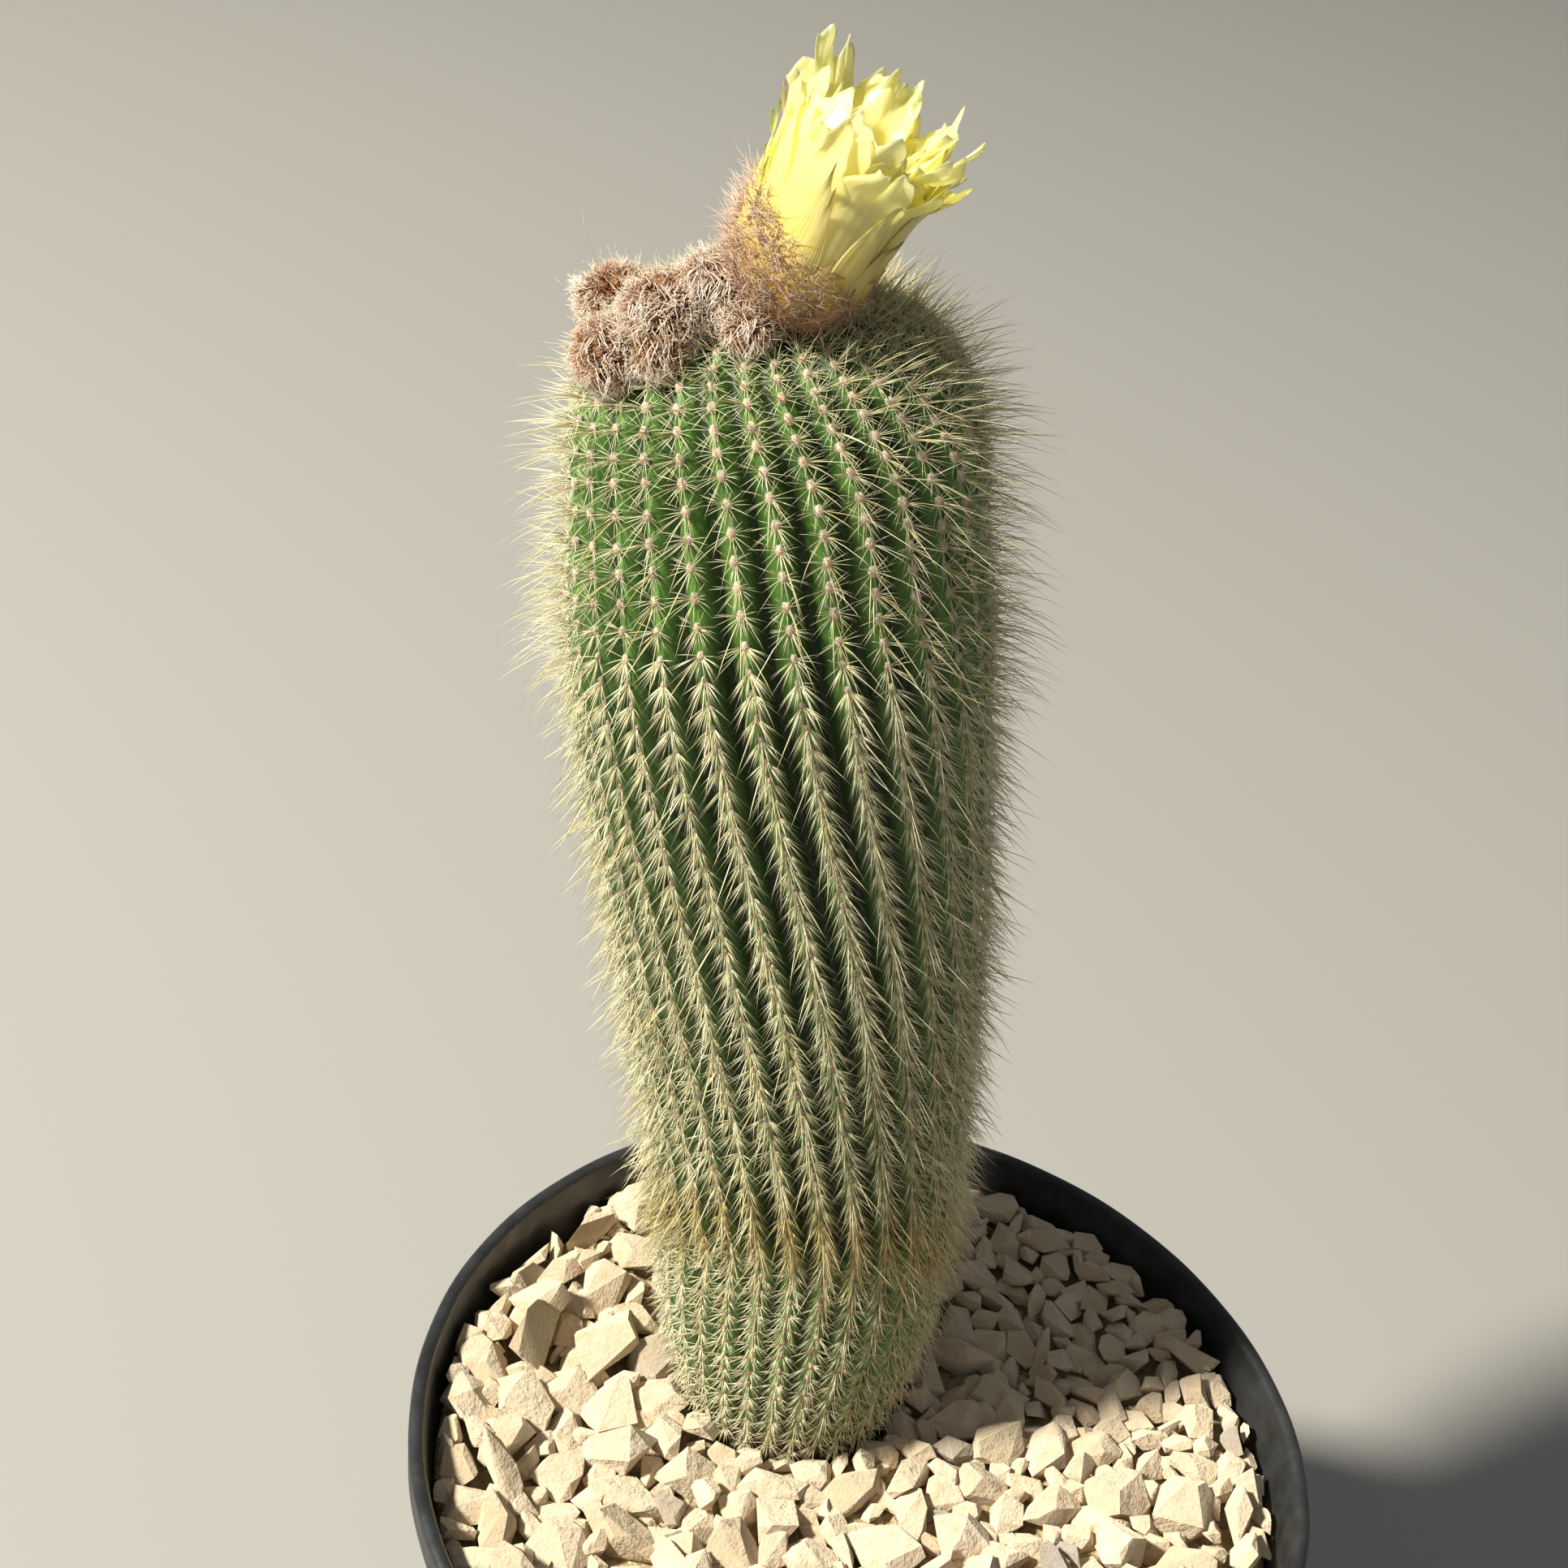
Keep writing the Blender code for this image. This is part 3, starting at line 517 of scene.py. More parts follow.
green = Finish("cactus_flesh", Roughness=0.50, Specular_IOR_Level=0.4)
skin = green.mix(green.noise(MOTTLE, 90.0), "#4E782E", "#6C9A3E")
skin = green.mix(green.times("lobe", 0.8), skin, "#7CA868")
# Painted shade: the grooves are darkened towards near black green, where the ribs shade them.
skin = green.mix("groove", skin, "#0F200E")
skin = green.mix("cork", skin, "#5E5038")
flecks = green.compute("GREATER_THAN", green.noise(GRAIN, 2600.0, 1.0), 0.86)
green.colour(green.mix(green.times(flecks, 0.35), skin, "#A8C480"))
green.bump(green.noise(GRAIN, 900.0), 0.00012)

rows = np.interp(np.linspace(0.0, OUTLINE[-1], STEM_ROWS + 2)[1:-1], OUTLINE, LEVELS)
columns = np.arange(RIBS * POINTS_PER_RIB) / POINTS_PER_RIB
height, rib = np.meshgrid(rows, columns, indexing="ij")
points, groove, azimuth = flesh_points(height, rib)
level = growth_level(height, azimuth)
old, lobe = 1 - ease(level, 0.176, 0.192), 1 - ease(level, 0.034, 0.042)
poles = stem_point(np.array([-0.037, STEM_TOP]), np.zeros(2), np.zeros(2))
# groove is the share across the rib towards the groove, to a power that spreads the painted shade wider on the old
# growth and keeps it narrow on the lobe.
make_piece("cactus_flesh", np.concatenate([points.reshape(-1, 3), poles]),
           capped_faces(STEM_ROWS, len(columns)), green, "cactus_stem",
           groove=np.append((groove ** (1.1 - 0.55 * old + 1.20 * lobe)).ravel(), [0, 0]),
           cork=np.append((0.9 * (1 - ease(height, -0.002, 0.010))).ravel(), [1, 0]),
           lobe=np.append(lobe.ravel(), [1, 0]))

# %% [markdown]
# ## Areoles
# An areole is a small oval cushion of felt, cream to pinkish with a tan middle. They follow the crests, closer
# together towards the crown, and alternate from rib to rib. All of them come from one counting function along
# the outline, so the felt, the spines and the swellings in the flesh agree.

# %% Where the areoles are
LOWEST_AREOLE, BARE_APEX, STEP_DOWN, CLEAR_OF_BUDS, CLEAR_OF_FLOWER = -0.0050, 0.011, 0.0006, 0.0005, 0.0075
draw = np.random.default_rng(21)
first = math.ceil(np.interp(LOWEST_AREOLE, LEVELS, AREOLE_COUNT))
counts, rib_numbers = np.meshgrid(np.arange(first, int(AREOLE_COUNT[-1]) + 1), np.arange(RIBS), indexing="ij")
counts, rib_numbers = (counts + 0.5 * (rib_numbers % 2)).ravel(), rib_numbers.ravel()
keep = counts < AREOLE_COUNT[-1] - 1.2
counts, rib_numbers = counts[keep] + draw.normal(0, 0.05, keep.sum()), rib_numbers[keep]
areole_height = np.interp(counts, AREOLE_COUNT, LEVELS)
keep = (stem_radius(areole_height) >= BARE_APEX) | (rib_numbers % 2 == 0)
areole_height, rib_numbers = areole_height[keep], rib_numbers[keep]
areole_radius = stem_radius(areole_height)
areole_azimuth = rib_numbers * math.tau / RIBS + rib_twist(areole_height)
areole_level = growth_level(areole_height, areole_azimuth)
areole_place = stem_point(areole_height, areole_azimuth, areole_radius * pinch(areole_height, areole_azimuth) - 0.0001)
areole_out = stem_normal(areole_height, areole_azimuth)
lower = areole_height - STEP_DOWN
areole_down = stem_point(lower, areole_azimuth - rib_twist(areole_height) + rib_twist(lower), stem_radius(lower))
areole_down = unit(across(areole_down - areole_place, areole_out))
areole_side = np.cross(areole_down, areole_out)


def bud_centre(azimuth, from_axis, radius):
    """A point on the dome at a distance from the axis, raised by a share of the bud's radius."""
    height, azimuth = dome_height(from_axis), math.radians(azimuth)
    return stem_point(height, azimuth, from_axis) + BUD_PROUD * radius * stem_normal(height, azimuth)


BUD_CENTRES = np.array([bud_centre(*bud) for bud in BUDS])
BUD_RADII = np.array([bud[2] for bud in BUDS])
SEAT = stem_point(dome_height(FLOWER_FROM_AXIS), math.radians(FLOWER_AZIMUTH), FLOWER_FROM_AXIS)
FLOWER_AXES = np.stack(axes_round(unit(np.array(FLOWER_AXIS))))
inside_bud = (norm(areole_place[:, None] - BUD_CENTRES) < BUD_RADII + CLEAR_OF_BUDS).any(axis=1)
bare = ~(inside_bud | (norm(areole_place - SEAT) < CLEAR_OF_FLOWER))
print("areoles:", bare.sum(), "of", len(bare))

# %% Felt cushions
CUSHION_SIDES = 6
CUSHION_POINTS = 2 * CUSHION_SIDES + 1
felt = Finish("areole_felt", Roughness=0.95, Specular_IOR_Level=0.1, Sheen_Weight=0.3, Sheen_Roughness=0.5)
fresh = felt.mix("middle", "#F6EAD6", "#BE8860")
aged = felt.mix("middle", "#E2BC84", "#BC7838")
felt.colour(felt.mix(felt.noise(MOTTLE, 1200.0), felt.mix("age", fresh, aged), "#EBDCC2"))
felt.bump(felt.noise(GRAIN, 4000.0), 0.0002)


def cushions(place, out, down, side, half_width, half_length, rise):
    """Half-ellipsoids: two rings and a top, at place + side w cos a + down l sin a + out r."""
    rings = np.array([(1.0, -0.4), (0.80, 0.62)])
    angle = ring_angles(CUSHION_SIDES)
    around = (np.cos(angle)[:, None] * side[:, None] * half_width[:, None, None]
              + np.sin(angle)[:, None] * down[:, None] * half_length[:, None, None])
    points = (place[:, None, None] + rings[None, :, :1, None] * around[:, None]
              + rings[None, :, 1:, None] * rise[:, None, None, None] * out[:, None, None])
    tops = place + out * rise[:, None]
    points = np.concatenate([points.reshape(len(place), -1, 3), tops[:, None]], axis=1)
    sides, top = CUSHION_SIDES, CUSHION_POINTS - 1
    upper = [(sides + i, sides + (i + 1) % sides, top) for i in range(sides)]
    one = triangles(grid_faces(2, sides, closed=True), upper, [(0, i + 1, i) for i in range(1, sides - 1)])
    middle = np.repeat([0.0, 0.40, 1.0], [sides, sides, 1])
    return points, copies(one[:, ::-1], len(place), CUSHION_POINTS), np.tile(middle, len(place))


areole_age = 1 - ease(areole_level + 0.006 * draw.normal(size=len(areole_level)), 0.10, 0.20)
areole_size = (ease(areole_radius, 0.006, 0.036) * 0.5 + 0.5) * (0.70 + 0.48 * ease(areole_level, 0.17, 0.20))
areole_size = areole_size * (1 + 0.5 * bell(areole_level, 0.0385, 0.0025))
own_size, own_age = areole_size[bare], areole_age[bare]
points, faces, middle = cushions(
    areole_place[bare], areole_out[bare], areole_down[bare], areole_side[bare], 0.00088 * own_size,
    0.00115 * own_size, (0.00072 + 0.00055 * own_age) * own_size * draw.uniform(0.8, 1.25, bare.sum()))
make_piece("areole_felt", points, [faces], felt, "cactus_stem", middle=middle, age=np.repeat(own_age, CUSHION_POINTS))

# %% [markdown]
# ## Spines
# Each areole has up to 19 fine radial spines, up to seven that stand out and up to three long central ones. On
# the young growth the radials stand like stars with green between them. Lower down they sweep downwards, so that
# each rib is a herringbone.
# A hair from particles would look right but would not export, so every spine is three-sided mesh.
# A spine's direction mixes down, sideways and outward by two angles, and bends a little as it goes.

# %% The spines' finish, directions and zones
straw = Finish("spine_straw", Roughness=0.42, Specular_IOR_Level=0.45)
pale = straw.mix("tone", "#FDFCE2", "#F2EEBE")
golden = straw.mix("tone", "#EAD890", "#CBA756")
stained = straw.mix("gold", pale, golden)
straw.colour(straw.mix(straw.compute("POWER", "along", 3.0), stained, "#F5EBC0"))


def spine_directions(owner, angle, lift):
    """cos lift (cos angle down + sin angle sideways) + sin lift outward, at the owner's areole."""
    flat = np.cos(angle)[:, None] * areole_down[owner] + np.sin(angle)[:, None] * areole_side[owner]
    return np.cos(lift)[:, None] * flat + np.sin(lift)[:, None] * areole_out[owner]


def zone_shares(owner, draw):
    """Shares of four zones at the owner's level: star, open feather, growth ring and the lobe under it."""
    at = areole_level[owner] + 0.003 * draw.normal(size=len(owner))
    opened = ease(at, 0.058, 0.072) * (1 - ease(at, 0.085, 0.120))
    return np.stack([ease(at, *STAR_ZONE), opened, bell(at, 0.048, 0.011), 1 - ease(at, 0.032, 0.042)])


def crowding(owner):
    """Spines are shortened by up to 30 % beside the buds, 55 % on the crown's left behind them, 60 % at the top."""
    apart = norm(areole_place[owner][:, None] - BUD_CENTRES) - BUD_RADII
    left = ease(areole_height[owner], 0.232, 0.248) * ease(-np.cos(areole_azimuth[owner]), -0.3, 0.4)
    left = left * ease(np.sin(areole_azimuth[owner]), -0.3, 0.2)
    beside = 1 - 0.30 * bell(np.maximum(apart.min(axis=1), 0), 0, 0.005)
    return beside * (1 - 0.55 * left) * (0.40 + 0.60 * ease(areole_radius[owner], 0.006, 0.040))

# %% Three kinds of spine


def radial(draw, owners, per_areole):
    """Angles round each areole are even with a shake; swept zones squeeze them towards down."""
    owner = np.repeat(owners, per_areole)
    even = np.tile((np.arange(per_areole) + 0.5) / per_areole * 2 - 1, len(owners))
    even = even + draw.normal(0, 0.5 / per_areole, len(even))
    zones = zone_shares(owner, draw)
    keep = draw.uniform(size=len(owner)) > 0.20 * zones[0] + 0.32 * zones[3]
    owner, even, (star, opened, ring, lobe) = owner[keep], even[keep], zones[:, keep]
    even = np.sign(even) * np.abs(even) ** (0.75 + 0.25 * star)
    angle = even * np.radians(60 + 110 * star + 24 * opened + 45 * lobe)
    lift = np.radians(8 + (32 - 6 * star) * draw.uniform(0, 1, len(owner)) ** 1.2)
    length = (0.0057 - 0.0001 * star + 0.0002 * lobe + 0.0008 * opened) * (1 - 0.2 * np.abs(angle) / math.pi)
    return (owner, angle, lift, (length, 0.7, 1.2), 0.4, (0.10 + 0.95 * ring + 0.10 * opened, 0.15),
            0.00014 - 0.00005 * star + 0.00005 * lobe, 0.07 + 0.04 * (1 - star))


def standing(draw, owners, per_areole):
    """Thin spines that make the fringe, lifted by 30 to 66 degrees on old growth and by 59 to 84 on young."""
    owner = np.repeat(owners, per_areole)
    young = ease(areole_level[owner], *STAR_ZONE) * ease(-np.sin(areole_azimuth[owner]), 0.5, 0.9)
    owner = owner[draw.uniform(size=len(owner)) > 0.55 * young]
    zones = zone_shares(owner, draw)
    keep = draw.uniform(size=len(owner)) > 0.45 * zones[3]
    owner, (star, _, ring, lobe) = owner[keep], zones[:, keep]
    angle = draw.uniform(-1, 1, len(owner)) * np.radians(60 + 110 * star + 20 * lobe)
    lift = np.radians(draw.uniform(0, 1, len(owner)) * (36 - 11 * star) + 30 + 29 * star)
    return (owner, angle, lift, (0.0078 + 0.0016 * star - 0.0014 * lobe, 0.65, 1.3), 1.0, (0.15 + 0.6 * ring, 0.2),
            0.00013 - 0.00004 * star + 0.00002 * lobe, 0.06 + 0.03 * (1 - star))


def central(draw, owners, per_areole):
    """Long spines: along the rib on the old growth, and outwards with a droop on the young growth."""
    owner = np.repeat(owners, per_areole)
    owner = owner[draw.uniform(size=len(owner)) > 0.45 - 0.20 * ease(areole_level[owner], *STAR_ZONE)]
    star, _, ring, lobe = zone_shares(owner, draw)
    angle = draw.uniform(-1, 1, len(owner)) * np.radians(45 + 50 * star)
    lift = np.radians(draw.uniform(0, 1, len(owner)) * (36 - 10 * star) + 28 + 30 * star)
    return (owner, angle, lift, (0.0122 + 0.0024 * star - 0.0050 * lobe, 0.6, 1.25), 1.0,
            (0.35 + 0.15 * star + 0.3 * ring, 0.25), 0.00015 - 0.00003 * star,
            0.12 + 0.16 * star * (1 - ease(areole_height[owner], 0.226, 0.240)))

# %% Growing the spines


def grow_spines(name, kind, owners, per_areole, rings, seed):
    """Roots stand round the edge of the felt, and tips sag by the droop, down the rib and towards the ground.

    A kind gives a mean length with the limits of its random factor, the crowding's power, and a mean gold with
    its scatter.
    """
    draw = np.random.default_rng(seed)
    owner, angle, lift, length, power, gold, width, droop = kind(draw, owners, per_areole)
    count = len(owner)
    length = length[0] * draw.uniform(*length[1:], count) * crowding(owner) ** power
    gold = np.clip(gold[0] + gold[1] * draw.normal(size=count), 0, 1)
    width = width * draw.uniform(0.8, 1.2, count)
    draw = np.random.default_rng(seed + 1)
    direction = spine_directions(owner, angle, lift)
    sag = droop[:, None] * (areole_down[owner] * 0.6 - np.array([0, 0, 0.4]) - direction * 0.2)
    sag = sag + 0.025 * draw.normal(size=direction.shape)
    rim = (0.00045 + 0.00040 * areole_age[owner]) * areole_size[owner]
    edge = rim[:, None] * spine_directions(owner, angle, 0.0 * lift)
    roots = areole_place[owner] + 0.00025 * areole_out[owner] + edge
    hair_piece(name, hairs(roots, direction, sag, length, width, rings), straw, "cactus_stem",
               tone=draw.uniform(0, 1, count), gold=gold)


bare_areoles = np.flatnonzero(bare)
third = len(bare_areoles) // 3
grow_spines("radial_spines_lower", radial, bare_areoles[:third], 18, 1, 31)
grow_spines("radial_spines_middle", radial, bare_areoles[third:2 * third], 17, 1, 33)
grow_spines("radial_spines_upper", radial, bare_areoles[2 * third:], 19, 2, 39)
grow_spines("standing_spines", standing, bare_areoles, 7, 1, 37)
grow_spines("central_spines", central, bare_areoles, 3, 3, 35)

# %% [markdown]
# ## Woolly buds
# The young buds hide in thick pinkish wool that curls in clumps, white at the tips and rusty towards the roots. Each
# bud is a lumpy ball, and one to three thousand hairs grow from it. A hair's tip is drawn towards the tip of its
# clump, which opens dark partings between the clumps as in real wool. Hairs rooted in the hollows between clumps
# take a darker ramp, which is painted shade.

# %% The wool's finishes and form
WOOL_ROOT, WOOL_RELIEF, WOOL_WIDTH, HAIRS_PER_MM2, HAIRS_PER_CLUMP = 0.75, 0.12, 0.00014, 3.5, 24
BALL_ROWS, BALL_COLUMNS = 26, 44
wool_base = crumbly("wool_base", 0.95, "#6E4428", "#A87C5A", 500.0, 1500.0, 0.0006)
wool = Finish("wool_hair", Roughness=0.85, Specular_IOR_Level=0.15)
ridge = wool.ramp("along", (0.0, "#B98258"), (0.25, "#EBCDB2"), (0.6, "#FAEBDC"), (1.0, "#FFFAF3"))
# Painted shade: hairs rooted in the hollows of the relief take this darker ramp.
shaded_hollow = wool.ramp("along", (0.0, "#7A4426"), (0.4, "#B2744A"), (0.8, "#D6A276"), (1.0, "#F0D8BE"))
wool.colour(wool.mix(wool.times("tone", 0.25), wool.mix("deep", ridge, shaded_hollow), "#F2D6BA"))


def wool_relief(points):
    """Hollows and ridges in the wool: smooth noise from -1 to 1, about 7 mm long."""
    return np.clip(ripple(points, 0.0070, 60), -1, 1)


def in_relief(points, centre):
    """Points moved away from the centre by a share of the relief."""
    return points + WOOL_RELIEF * (points - centre) * wool_relief(points)[:, None]


def ball_directions(count, seed):
    """Seeded directions spread over a sphere by the golden angle, each shaken a little."""
    draw = np.random.default_rng(seed)
    rank = np.arange(count) + 0.5
    up, turn = 1 - 2 * rank / count, rank * math.pi * (3 - math.sqrt(5))
    return unit(polar(np.sqrt(1 - up**2), turn, up) + draw.normal(0, 0.3 / math.sqrt(count), (count, 3)))


def ball_points(centre, radius, bump, seed):
    """centre + radius (1 + bump noise) times the unit sphere's latitude and longitude grid, with poles."""
    latitude = np.linspace(-math.pi / 2, math.pi / 2, BALL_ROWS + 2)[1:-1, None]
    sphere = polar(np.cos(latitude), ring_angles(BALL_COLUMNS), np.sin(latitude)).reshape(-1, 3)
    sphere = np.concatenate([sphere, [[0, 0, -1], [0, 0, 1]]])
    return centre + radius * sphere * (1 + bump * ripple(sphere, 1.2, seed))[:, None]

# %% Balls under the wool
for number, (centre, radius) in enumerate(zip(BUD_CENTRES, BUD_RADII)):
    shape = in_relief(ball_points(centre, radius * WOOL_ROOT, 0.03, 50 + number), centre)
    make_piece(f"bud_{number}", shape, capped_faces(BALL_ROWS, BALL_COLUMNS), wool_base, "woolly_buds")

# %% Clumped hairs


def tube_reach(points):
    """How far points lie outside the flower's tube: distance from its axis less its radius at that height."""
    offset, along = points - SEAT, FLOWER_AXES[2]
    up = offset @ along
    away = norm(offset - up[:, None] * along)
    return np.where((up > TUBE_FOOT) & (up < TUBE_TOP), away - smooth(TUBE, up), 0.02)


def dome_reach(points):
    """How far points lie outside the crown, by their distance from the axis at their height."""
    height = points[:, 2] - GRAVEL_TOP
    on_stem = np.clip(height, 0, STEM_TOP)
    away = norm((points - stem_frame(on_stem)[0])[:, :2])
    return np.where(height > STEM_TOP, 0.01, away - stem_radius(on_stem))


def wool_hairs(seed):
    """Roots, directions, bends, lengths and painted hollow shade of clumped hairs, clear of the buds beside them."""
    draw = np.random.default_rng(seed)
    found = []
    for number, (centre, radius) in enumerate(zip(BUD_CENTRES, BUD_RADII)):
        count = int(4 * math.pi * (radius * 1000) ** 2 * HAIRS_PER_MM2)
        out = ball_directions(count, seed + number)
        roots = in_relief(centre + out * radius * WOOL_ROOT, centre)
        apart = norm(roots[:, None] - np.delete(BUD_CENTRES, number, axis=0))
        keep = (apart > np.delete(BUD_RADII, number) * (WOOL_ROOT - 0.04)).all(axis=1)
        keep &= (tube_reach(roots) > -0.0008) & (dome_reach(roots) > -0.001)
        roots, out = roots[keep], out[keep]
        clumps = ball_directions(max(16, int(count / HAIRS_PER_CLUMP)), seed + 20 + number)
        whose = np.argmax(out @ clumps.T, axis=1)
        lean = unit(np.cross(clumps, draw.normal(size=clumps.shape))) * draw.uniform(0.2, 1.3, (len(clumps), 1))
        hang = np.array([0.25, 0.0, -1.0]) * (0.8 * ease(-clumps[:, 2], -0.75, 0.1))[:, None]
        lean = lean + hang - (hang * clumps).sum(-1, keepdims=True) * clumps
        high = wool_relief(roots)
        clump_tip = centre + clumps * radius * (1.06 - 0.10 * ease(clumps[:, 2:], 0.2, 0.9)) + lean * 0.0026
        length = (0.0026 + 0.0010 * high) * draw.uniform(0.75, 1.3, len(roots))
        free_tip = roots + out * length[:, None] + 0.0011 * draw.normal(size=out.shape)
        chord = 0.52 * free_tip + 0.48 * clump_tip[whose] - roots
        start = unit(out + 0.5 * lean[whose] + 0.25 * draw.normal(size=out.shape))
        length = norm(chord) * 1.05
        bend = chord / length[:, None] - start
        # The last value is painted shade, larger where the relief is low.
        found.append((roots, start, bend, length, np.clip(0.42 - 0.75 * high, 0, 1)))
    return [np.concatenate(group) for group in zip(*found)]


roots, start, bend, length, deep = wool_hairs(70)
hair_piece("bud_wool", hairs(roots, start, bend, length, WOOL_WIDTH, 3, kink=0.24), wool, "woolly_buds",
           tone=np.random.default_rng(5).uniform(0, 1, len(roots)), deep=deep)

# %% Pale locks that hang over the wool
LOCKS, LOCK_LENGTH = 620, 0.0046


def on_buds(owner, out, share, clear, off_tube, off_dome):
    """Roots at a share of each bud's radius, and which are clear of the other buds, the tube and the crown."""
    roots = BUD_CENTRES[owner] + out * BUD_RADII[owner][:, None] * share
    free = (norm(roots[:, None] - BUD_CENTRES) > BUD_RADII * clear).all(axis=1)
    return roots, free & (tube_reach(roots) > off_tube) & (dome_reach(roots) > off_dome)


draw = np.random.default_rng(66)
owner = draw.choice([0, 1, 2, 4, 5], LOCKS, p=[0.2, 0.2, 0.1, 0.35, 0.15])
out = unit(draw.normal(size=(LOCKS, 3)) + np.array([0.1, -0.9, 0.35]))
roots, free = on_buds(owner, out, 0.93, 0.90, 0.0, 0.0)
free &= out[:, 1] < 0.2
roots, out = roots[free], out[free]
lock = ball_directions(60, 67)
whose = np.argmax(out @ lock.T, axis=1)
hang = np.array([0.30, -0.25, -1.0]) + 0.35 * draw.normal(size=lock.shape)[whose]
hang = unit(across(hang, out))
direction = unit(0.40 * out + hang + 0.10 * draw.normal(size=out.shape))
length = LOCK_LENGTH * draw.uniform(0.6, 1.3, len(roots))
bend = -0.40 * out + 0.1 * draw.normal(size=out.shape)
hair_piece("bud_locks", hairs(roots, direction, bend, length, WOOL_WIDTH, 4, kink=0.08), wool, "woolly_buds",
           fade=(0.6, 0.45), tone=draw.uniform(0, 0.6, len(roots)), deep=np.zeros(len(roots)))

# %% Bristles that stand out of the wool
BRISTLES, BRISTLE_LENGTH, LONG_BRISTLE, BRISTLE_WIDTH = 1100, 0.0036, 0.0090, 0.00009
draw = np.random.default_rng(77)
owner = draw.integers(0, len(BUDS), BRISTLES)
out = ball_directions(BRISTLES, 78)
roots, free = on_buds(owner, out, 0.88, 0.86, 0.0005, 0.001)
free &= out[:, 2] > -0.1
roots, out = roots[free], out[free]
direction = unit(out + np.array([0, 0, 0.30]) + 0.22 * draw.normal(size=out.shape))
length = BRISTLE_LENGTH * draw.uniform(0.6, 1.3, len(roots))
few = draw.uniform(size=len(roots)) < 0.02
length = np.where(few, LONG_BRISTLE * draw.uniform(0.8, 1.2, len(roots)), length)
bend = 0.2 * draw.normal(size=out.shape)
hair_piece("bud_bristles", hairs(roots, direction, bend, length, BRISTLE_WIDTH, 4), straw, "woolly_buds",
           tone=draw.uniform(0, 1, len(roots)), gold=np.where(few, 1.0, 0.1))

# %% [markdown]
# ## The flower's tube
# The flower stands in a deep bowl, the receptacle. Its skin is golden yellow under thin tan wool, denser and
# browner at the foot. It is a turned surface in the flower's own frame, with short hairs that lie upwards.

# %% Receptacle
UPWARD = np.array([0, 0, 1.0])


def in_flower(points):
    """From the flower's own frame to the row's: seat + x across + y behind + z along."""
    return SEAT + points @ FLOWER_AXES


golden_skin = Finish("receptacle_skin", Roughness=0.6)
upward = golden_skin.ramp("up", (0.0, "#6A4632"), (0.3, "#946A42"), (0.6, "#C09848"), (1.0, "#E0C460"))
golden_skin.colour(golden_skin.mix(golden_skin.times(golden_skin.noise(MOTTLE, 420.0), 0.6), upward, "#A87C46"))
golden_skin.bump(golden_skin.noise(GRAIN, 1100.0), 0.0004)
rise = np.linspace(TUBE_FOOT, TUBE_TOP, 34)
wall = smooth(TUBE, rise)
closing = [(wall[-1] * share, TUBE_TOP + 0.0006 * (1 - share)) for share in (0.96, 0.85, 0.5)]
profile = [(0.0, TUBE_FOOT), *zip(wall, rise), *closing, (0.0, 0.0176)]
points, faces = turned_surface(profile, 72, lambda h, a: 0.00030 * np.sin(9 * a + 300 * h) * ease(h, 0.0, 0.008))
make_piece("flower_bowl", in_flower(points), faces, golden_skin, "flower_tube",
           up=np.clip((points[:, 2] + 0.001) / 0.018, 0, 1))

# %% Fur on the receptacle
FUR_COUNT, FUR_WIDTH = 11500, 0.00010
draw = np.random.default_rng(81)
up = draw.uniform(-0.001, 0.025, FUR_COUNT)
turn = draw.uniform(0, math.tau, FUR_COUNT)
left = 0.5 - 0.5 * np.cos(turn - 0.35)
limit = 0.0160 + 0.0090 * left**3
dense = draw.uniform(0, 1, FUR_COUNT) < (1 - ease(up, limit - 0.006, limit)) * (0.85 + 0.15 * left)
up, turn, left = up[dense], turn[dense], left[dense]
around = polar(1.0, turn, 0.0)
roots = around * (smooth(FLOWER_BODY, up)[:, None] - 0.0002) + UPWARD * up[:, None]
swirl = np.cross(UPWARD, around) * draw.normal(0, 0.7, (len(up), 1))
direction = unit(0.65 * around + swirl + UPWARD * draw.uniform(-0.2, 1.0, (len(up), 1)))
bend = 0.6 * draw.normal(size=around.shape) - 0.3 * around
length = (0.0021 + 0.0009 * left) * draw.uniform(0.6, 1.4, len(up))
points, faces, _, per = hairs(in_flower(roots), direction @ FLOWER_AXES, bend @ FLOWER_AXES, length, FUR_WIDTH, 2)
fuzz = Finish("receptacle_wool", Roughness=0.85, Specular_IOR_Level=0.15)
fuzz.colour(fuzz.mix("tone", "#8A5A3C", "#EACFB8"))
# The fur is lighter on its left side, where the key light falls, which is painted light; it is also darker towards the
# foot.
make_piece("flower_bowl_wool", points, [faces], fuzz, "flower_tube",
           tone=np.repeat(np.clip(draw.uniform(-0.05, 0.5, len(up)) + 32 * up + 0.2 * left, 0, 1), per))

# %% [markdown]
# ## Tepals
# Cactus flowers have tepals in layers that grade from scales to petals. The scales lie on the bowl, the outer
# tepals end in thin green or brown points, and the inner ones are silky, pale lemon and half see-through, with
# torn, waved tips. All of them are strips wrapped round one body line, each layer a little further in, so they
# merge as real ones do. One edge of a strip lies over its neighbour and the other under it. A Solidify modifier
# gives them their thickness. Light comes through by a Translucent shader that is mixed into the silk, and a
# Transparent one that only shadow rays meet lets part of the sun reach the petals behind.

